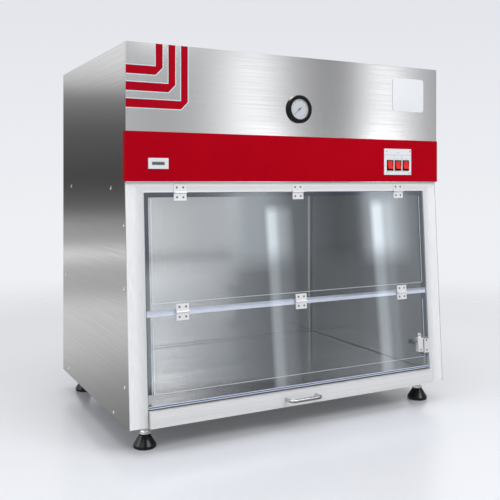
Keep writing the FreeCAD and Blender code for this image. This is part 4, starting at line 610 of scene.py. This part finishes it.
LEAN_OUT = (0, -math.cos(LEAN), math.sin(LEAN))
RAIL_HEIGHT = 0.0254
RAIL_GAP = 0.0007
TOP_AXIS = 0.6 / math.cos(LEAN) - RAIL_HEIGHT - RAIL_GAP
MID_AXIS = 0.274 / math.cos(LEAN)
LEAF_SPOTS = (-0.35, 0.0, 0.35)
LEAF_THICK = 0.0015
SCREW_SIDE = 0.0088
SCREW_UP = 0.0125


def leaf_seats(axis_up, side):
    """Seats of the leaf screws above (1) or below (-1) a row of hinge pins."""
    return [(on_lean(across + shift, axis_up + side * SCREW_UP, LEAF_THICK), LEAN_OUT)
            for across in LEAF_SPOTS for shift in (-SCREW_SIDE, SCREW_SIDE)]


dark_recess = moulded("hinge_screw_steel", (0.16, 0.17, 0.20), 0.30, metal=0.6)
set_screws("rail_leaf_screws", pan_head("leaf_screw", 0.0027, 0.0007), leaf_seats(TOP_AXIS, 1), dark_recess,
           "cabinet")
set_screws("upper_leaf_screws", pan_head("leaf_screw", 0.0027, 0.0007),
           leaf_seats(TOP_AXIS, -1) + leaf_seats(MID_AXIS, 1), dark_recess, "upper_door")
set_screws("lower_leaf_screws", pan_head("leaf_screw", 0.0027, 0.0007), leaf_seats(MID_AXIS, -1), dark_recess,
           "lower_door")

# Latch screws: one in the ear and one low in the block, and two in the keeper, which is
# screwed to the stile. All are small and dark, like those of the hinges.
set_screws("latch_block_screws", pan_head("latch_screw", 0.0022, 0.0008),
           [(on_lean(0.4095, 0.1425, 0.004), LEAN_OUT), (on_lean(0.405, 0.1015, 0.012), LEAN_OUT)],
           dark_recess, "lower_door")
set_screws("latch_keeper_screws", pan_head("latch_screw", 0.0024, 0.0008),
           [(on_lean(0.4275, 0.1275, 0.012), LEAN_OUT), (on_lean(0.4275, 0.0985, 0.012), LEAN_OUT)],
           dark_recess, "cabinet")

# Switch plate: four pan heads in its corners and thin printed rules above and between the
# rockers, with a small angle mark over the middle one.
PLATE_FACE = -0.2835
plate_screw_spots = [(0.3004, 0.7539), (0.3882, 0.7536), (0.3008, 0.6899), (0.3874, 0.6899)]
set_screws("switch_plate_screws", pan_head("plate_screw", 0.0030, 0.0012),
           [((x, PLATE_FACE, z), (0, -1, 0)) for x, z in plate_screw_spots], screw_steel, "cabinet")


def thin_bars(name, bars, face, thick, finish, body, lay=None):
    """Flat bars laid on an upright face, each from its low and high corner in X and Z."""
    bpy.ops.object.select_all(action="DESELECT")
    made = []
    for low, high, turn in bars:
        middle = ((low[0] + high[0]) / 2, face - thick / 2, (low[1] + high[1]) / 2)
        bpy.ops.mesh.primitive_cube_add(size=1.0, location=(0, 0, 0))
        bar = bpy.context.object
        bar.data.transform(Matrix.Diagonal((high[0] - low[0], thick, high[1] - low[1], 1)))
        bar.data.transform(Matrix.Translation(Vector(middle)) @ Matrix.Rotation(math.radians(turn), 4, "Y"))
        made.append(bar)
    for bar in made:
        bar.select_set(True)
    bpy.context.view_layer.objects.active = made[0]
    bpy.ops.object.join()
    whole = bpy.context.object
    whole.name = name
    bevel = whole.modifiers.new("soft_edge", "BEVEL")
    bevel.width = thick * 0.3
    bevel.segments = 1
    bpy.ops.object.modifier_apply(modifier="soft_edge")
    if lay:
        whole.data.transform(lay)
    whole.data.materials.append(finish)
    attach(whole, body)
    return whole


rule_ink = moulded("switch_plate_ink", (0.30, 0.31, 0.33), 0.5)
thin_bars("switch_plate_rules", [
    ((0.2925, 0.7416), (0.3930, 0.7423), 0), ((0.3284, 0.6920), (0.3290, 0.7416), 0),
    ((0.3578, 0.6920), (0.3584, 0.7416), 0), ((0.3415, 0.7479), (0.3433, 0.7499), 45),
    ((0.3443, 0.7479), (0.3461, 0.7499), 45)], PLATE_FACE, 0.00015, rule_ink, "cabinet")

# Corner stripes: each has a pale outline laid on the head front just under its edges, a thin
# sheet cut to the stripe's own course and a little wider.
outline_pale = moulded("stripe_outline_pale", (0.60, 0.86, 0.88), 0.5, shine=0.1)
HEAD_LEFT = -0.495
HEAD_TOP = 1.006
HEAD_FACE = -0.280
STRIPE_FIRST_SIDE = 0.0774
STRIPE_FIRST_TOP = 0.0567
STRIPE_SIDE_STEP = 0.034
STRIPE_DROP_STEP = 0.0415
STRIPE_UPRIGHT = 0.0185
STRIPE_LEVEL = 0.0213
STRIPE_CORNER = 0.019


def stripe_outline(number):
    """An L-shaped border round one stripe, a flat outline extruded to its thickness."""
    inner = HEAD_LEFT + STRIPE_FIRST_SIDE + STRIPE_SIDE_STEP * number
    outer = inner + STRIPE_UPRIGHT
    high = HEAD_TOP - STRIPE_FIRST_TOP - STRIPE_DROP_STEP * number
    low = high - STRIPE_LEVEL
    edge = 0.0023
    thick = 0.0003
    course = [(HEAD_LEFT + 0.0004, low - edge), (inner + edge * 0.4, low - edge),
              (outer + edge, low + STRIPE_CORNER - edge * 0.4), (outer + edge, HEAD_TOP - 0.0004),
              (inner - edge, HEAD_TOP - 0.0004), (inner - edge, high + edge),
              (HEAD_LEFT + 0.0004, high + edge)]
    bpy.ops.object.select_all(action="DESELECT")
    bpy.ops.mesh.primitive_plane_add(size=1.0)
    border = bpy.context.object
    border.name = "stripe_outline_%d" % number
    bpy.ops.object.mode_set(mode="EDIT")
    mesh = bmesh.from_edit_mesh(border.data)
    bmesh.ops.delete(mesh, geom=list(mesh.verts), context="VERTS")
    corners = [mesh.verts.new((x, HEAD_FACE - thick, z)) for x, z in course]
    mesh.faces.new(corners)
    for face in mesh.faces:
        face.select = True
    bmesh.update_edit_mesh(border.data)
    bpy.ops.mesh.extrude_region_move(TRANSFORM_OT_translate={"value": (0, thick, 0)})
    bpy.ops.mesh.select_all(action="SELECT")
    bpy.ops.mesh.normals_make_consistent(inside=False)
    bpy.ops.object.mode_set(mode="OBJECT")
    border.data.materials.append(outline_pale)
    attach(border, "cabinet")


for number in range(3):
    stripe_outline(number)

# Gauge scale: fine black ticks on the upper arc of the dial, long at every fifth, with the
# lens and needle in front.
GAUGE = Vector((0, -0.28355, 0.862))
TICK_COUNT = 41
TICK_START = 222
TICK_STEP = 6.6
TICK_RIM = 0.0255
tick_ink = moulded("gauge_tick_ink", (0.02, 0.02, 0.022), 0.5)
ticks = []
for step in range(TICK_COUNT):
    angle = math.radians(TICK_START - step * TICK_STEP)
    long = step % 5 == 0
    reach = 0.0045 if long else 0.0025
    bpy.ops.object.select_all(action="DESELECT")
    bpy.ops.mesh.primitive_cube_add(size=1.0)
    tick = bpy.context.object
    tick.data.transform(Matrix.Diagonal((reach, 0.0001, 0.0007 if long else 0.0004, 1)))
    tick.data.transform(Matrix.Translation((TICK_RIM - reach / 2, 0, 0)))
    tick.data.transform(Matrix.Translation(GAUGE) @ Matrix.Rotation(-angle, 4, "Y"))
    ticks.append(tick)
bpy.ops.object.select_all(action="DESELECT")
for tick in ticks:
    tick.select_set(True)
bpy.context.view_layer.objects.active = ticks[0]
bpy.ops.object.join()
scale_marks = bpy.context.object
scale_marks.name = "gauge_scale"
scale_marks.data.materials.append(tick_ink)
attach(scale_marks, "cabinet")

# Hour meter window: a grey display with six small dark drum cells in a row, set in the
# meter's white moulded front.
CELL_STEP = 0.0052
display_grey = moulded("meter_display_grey", (0.30, 0.33, 0.33), 0.35)
drum_ink = moulded("meter_drum_dark", (0.05, 0.055, 0.06), 0.4)
thin_bars("meter_display", [((-0.4292, 0.7034), (-0.3954, 0.7120), 0)], -0.2836, 0.0004, display_grey,
          "cabinet")
thin_bars("meter_drums", [((-0.4270 + CELL_STEP * cell, 0.7052), (-0.4228 + CELL_STEP * cell, 0.7102), 0)
                          for cell in range(6)], -0.2840, 0.0002, drum_ink, "cabinet")

# Door edges: pale bars along the panes' sawn edges are painted highlights of the light those edges catch,
# and a navy line runs along the lower door's foot between two pale lips, which are painted highlights too.
DOOR_LAY = Matrix(((1, 0, 0, 0), (0, math.cos(LEAN), math.sin(LEAN), LOWER_FRONT),
                   (0, -math.sin(LEAN), math.cos(LEAN), FLOOR_LINE), (0, 0, 0, 1)))
DOOR_HALF = 0.4293
# pale finish of painted highlights, for the pane edges and the lips at the door's foot
edge_highlight_paint = moulded("pane_edge_highlight_paint", (0.80, 0.84, 0.90), 0.3)
foot_navy = moulded("door_foot_navy", (0.10, 0.16, 0.36), 0.3, shine=0.2)
for label, low, high in (("upper", 0.2992, 0.5586), ("lower", 0.0778, 0.2498)):
    edges = [((-DOOR_HALF, low), (-DOOR_HALF + 0.0012, high), 0),
             ((DOOR_HALF - 0.0012, low), (DOOR_HALF, high), 0),
             ((-DOOR_HALF, low), (DOOR_HALF, low + 0.0009), 0)]
    thin_bars(label + "_pane_edge_highlights", edges, 0.0, 0.0003, edge_highlight_paint, label + "_door",
              lay=DOOR_LAY)
DOOR_FOOT = 0.0445 / math.cos(LEAN)
FOOT_HALF = 0.4440
# painted highlights: two pale lips, one below and one above the navy line
foot_highlight_lips = [((-FOOT_HALF, DOOR_FOOT + 0.0002), (FOOT_HALF, DOOR_FOOT + 0.0017), 0),
             ((-FOOT_HALF, DOOR_FOOT + 0.0049), (FOOT_HALF, DOOR_FOOT + 0.0066), 0)]
thin_bars("door_foot_highlight_lips", foot_highlight_lips, 0.0, 0.0003, edge_highlight_paint, "lower_door", lay=DOOR_LAY)
foot_line = [((-FOOT_HALF, DOOR_FOOT + 0.0018), (FOOT_HALF, DOOR_FOOT + 0.0048), 0)]
thin_bars("door_foot_line", foot_line, 0.0, 0.0003, foot_navy, "lower_door", lay=DOOR_LAY)

# Worktop joint: a dark grey strip runs along the back and both sides, over the gap between the work surface
# and the walls, as painted shadow of that joint.
# painted shadow: a dark grey strip stands for the shade inside the worktop's joint
joint_shadow_grey = moulded("worktop_joint_shadow_grey", (0.045, 0.045, 0.05), 0.4)
WORKTOP_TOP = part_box("work_surface")[1][2]
JOINT_SHADOW_LAY = Matrix(((1, 0, 0, 0), (0, 0, 1, 0), (0, -1, 0, WORKTOP_TOP), (0, 0, 0, 1)))
JOINT_SHADOW_OUTER = 0.4295
JOINT_SHADOW_INNER = 0.4262
JOINT_SHADOW_FRONT = -0.2780
JOINT_SHADOW_REAR = 0.3190
joint_shadow_strips = [((-JOINT_SHADOW_OUTER, JOINT_SHADOW_REAR), (JOINT_SHADOW_OUTER, 0.3226), 0),
         ((JOINT_SHADOW_INNER, JOINT_SHADOW_FRONT), (JOINT_SHADOW_OUTER, JOINT_SHADOW_REAR), 0),
         ((-JOINT_SHADOW_OUTER, JOINT_SHADOW_FRONT), (-JOINT_SHADOW_INNER, JOINT_SHADOW_REAR), 0)]
thin_bars("worktop_joint_shadow", joint_shadow_strips, 0.0, 0.0008, joint_shadow_grey, "cabinet", lay=JOINT_SHADOW_LAY)

# Inlet pins: three flat brass blades standing in the mains inlet at the back of the head,
# their ends chamfered.
pin_metal = moulded("inlet_pin_brass", (0.78, 0.70, 0.48), 0.25, metal=1.0)
pins = []
for across, height in ((0.390, 0.719), (0.400, 0.7245), (0.410, 0.719)):
    bpy.ops.object.select_all(action="DESELECT")
    bpy.ops.mesh.primitive_cube_add(size=1.0)
    pin = bpy.context.object
    pin.data.transform(Matrix.Diagonal((0.002, 0.013, 0.005, 1)))
    pin.data.transform(Matrix.Translation((across, 0.3436, height)))
    pins.append(pin)
bpy.ops.object.select_all(action="DESELECT")
for pin in pins:
    pin.select_set(True)
bpy.context.view_layer.objects.active = pins[0]
bpy.ops.object.join()
inlet_pins = bpy.context.object
inlet_pins.name = "inlet_pins"
chamfer = inlet_pins.modifiers.new("chamfer", "BEVEL")
chamfer.width = 0.0005
bpy.ops.object.modifier_apply(modifier="chamfer")
inlet_pins.data.materials.append(pin_metal)
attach(inlet_pins, "cabinet")
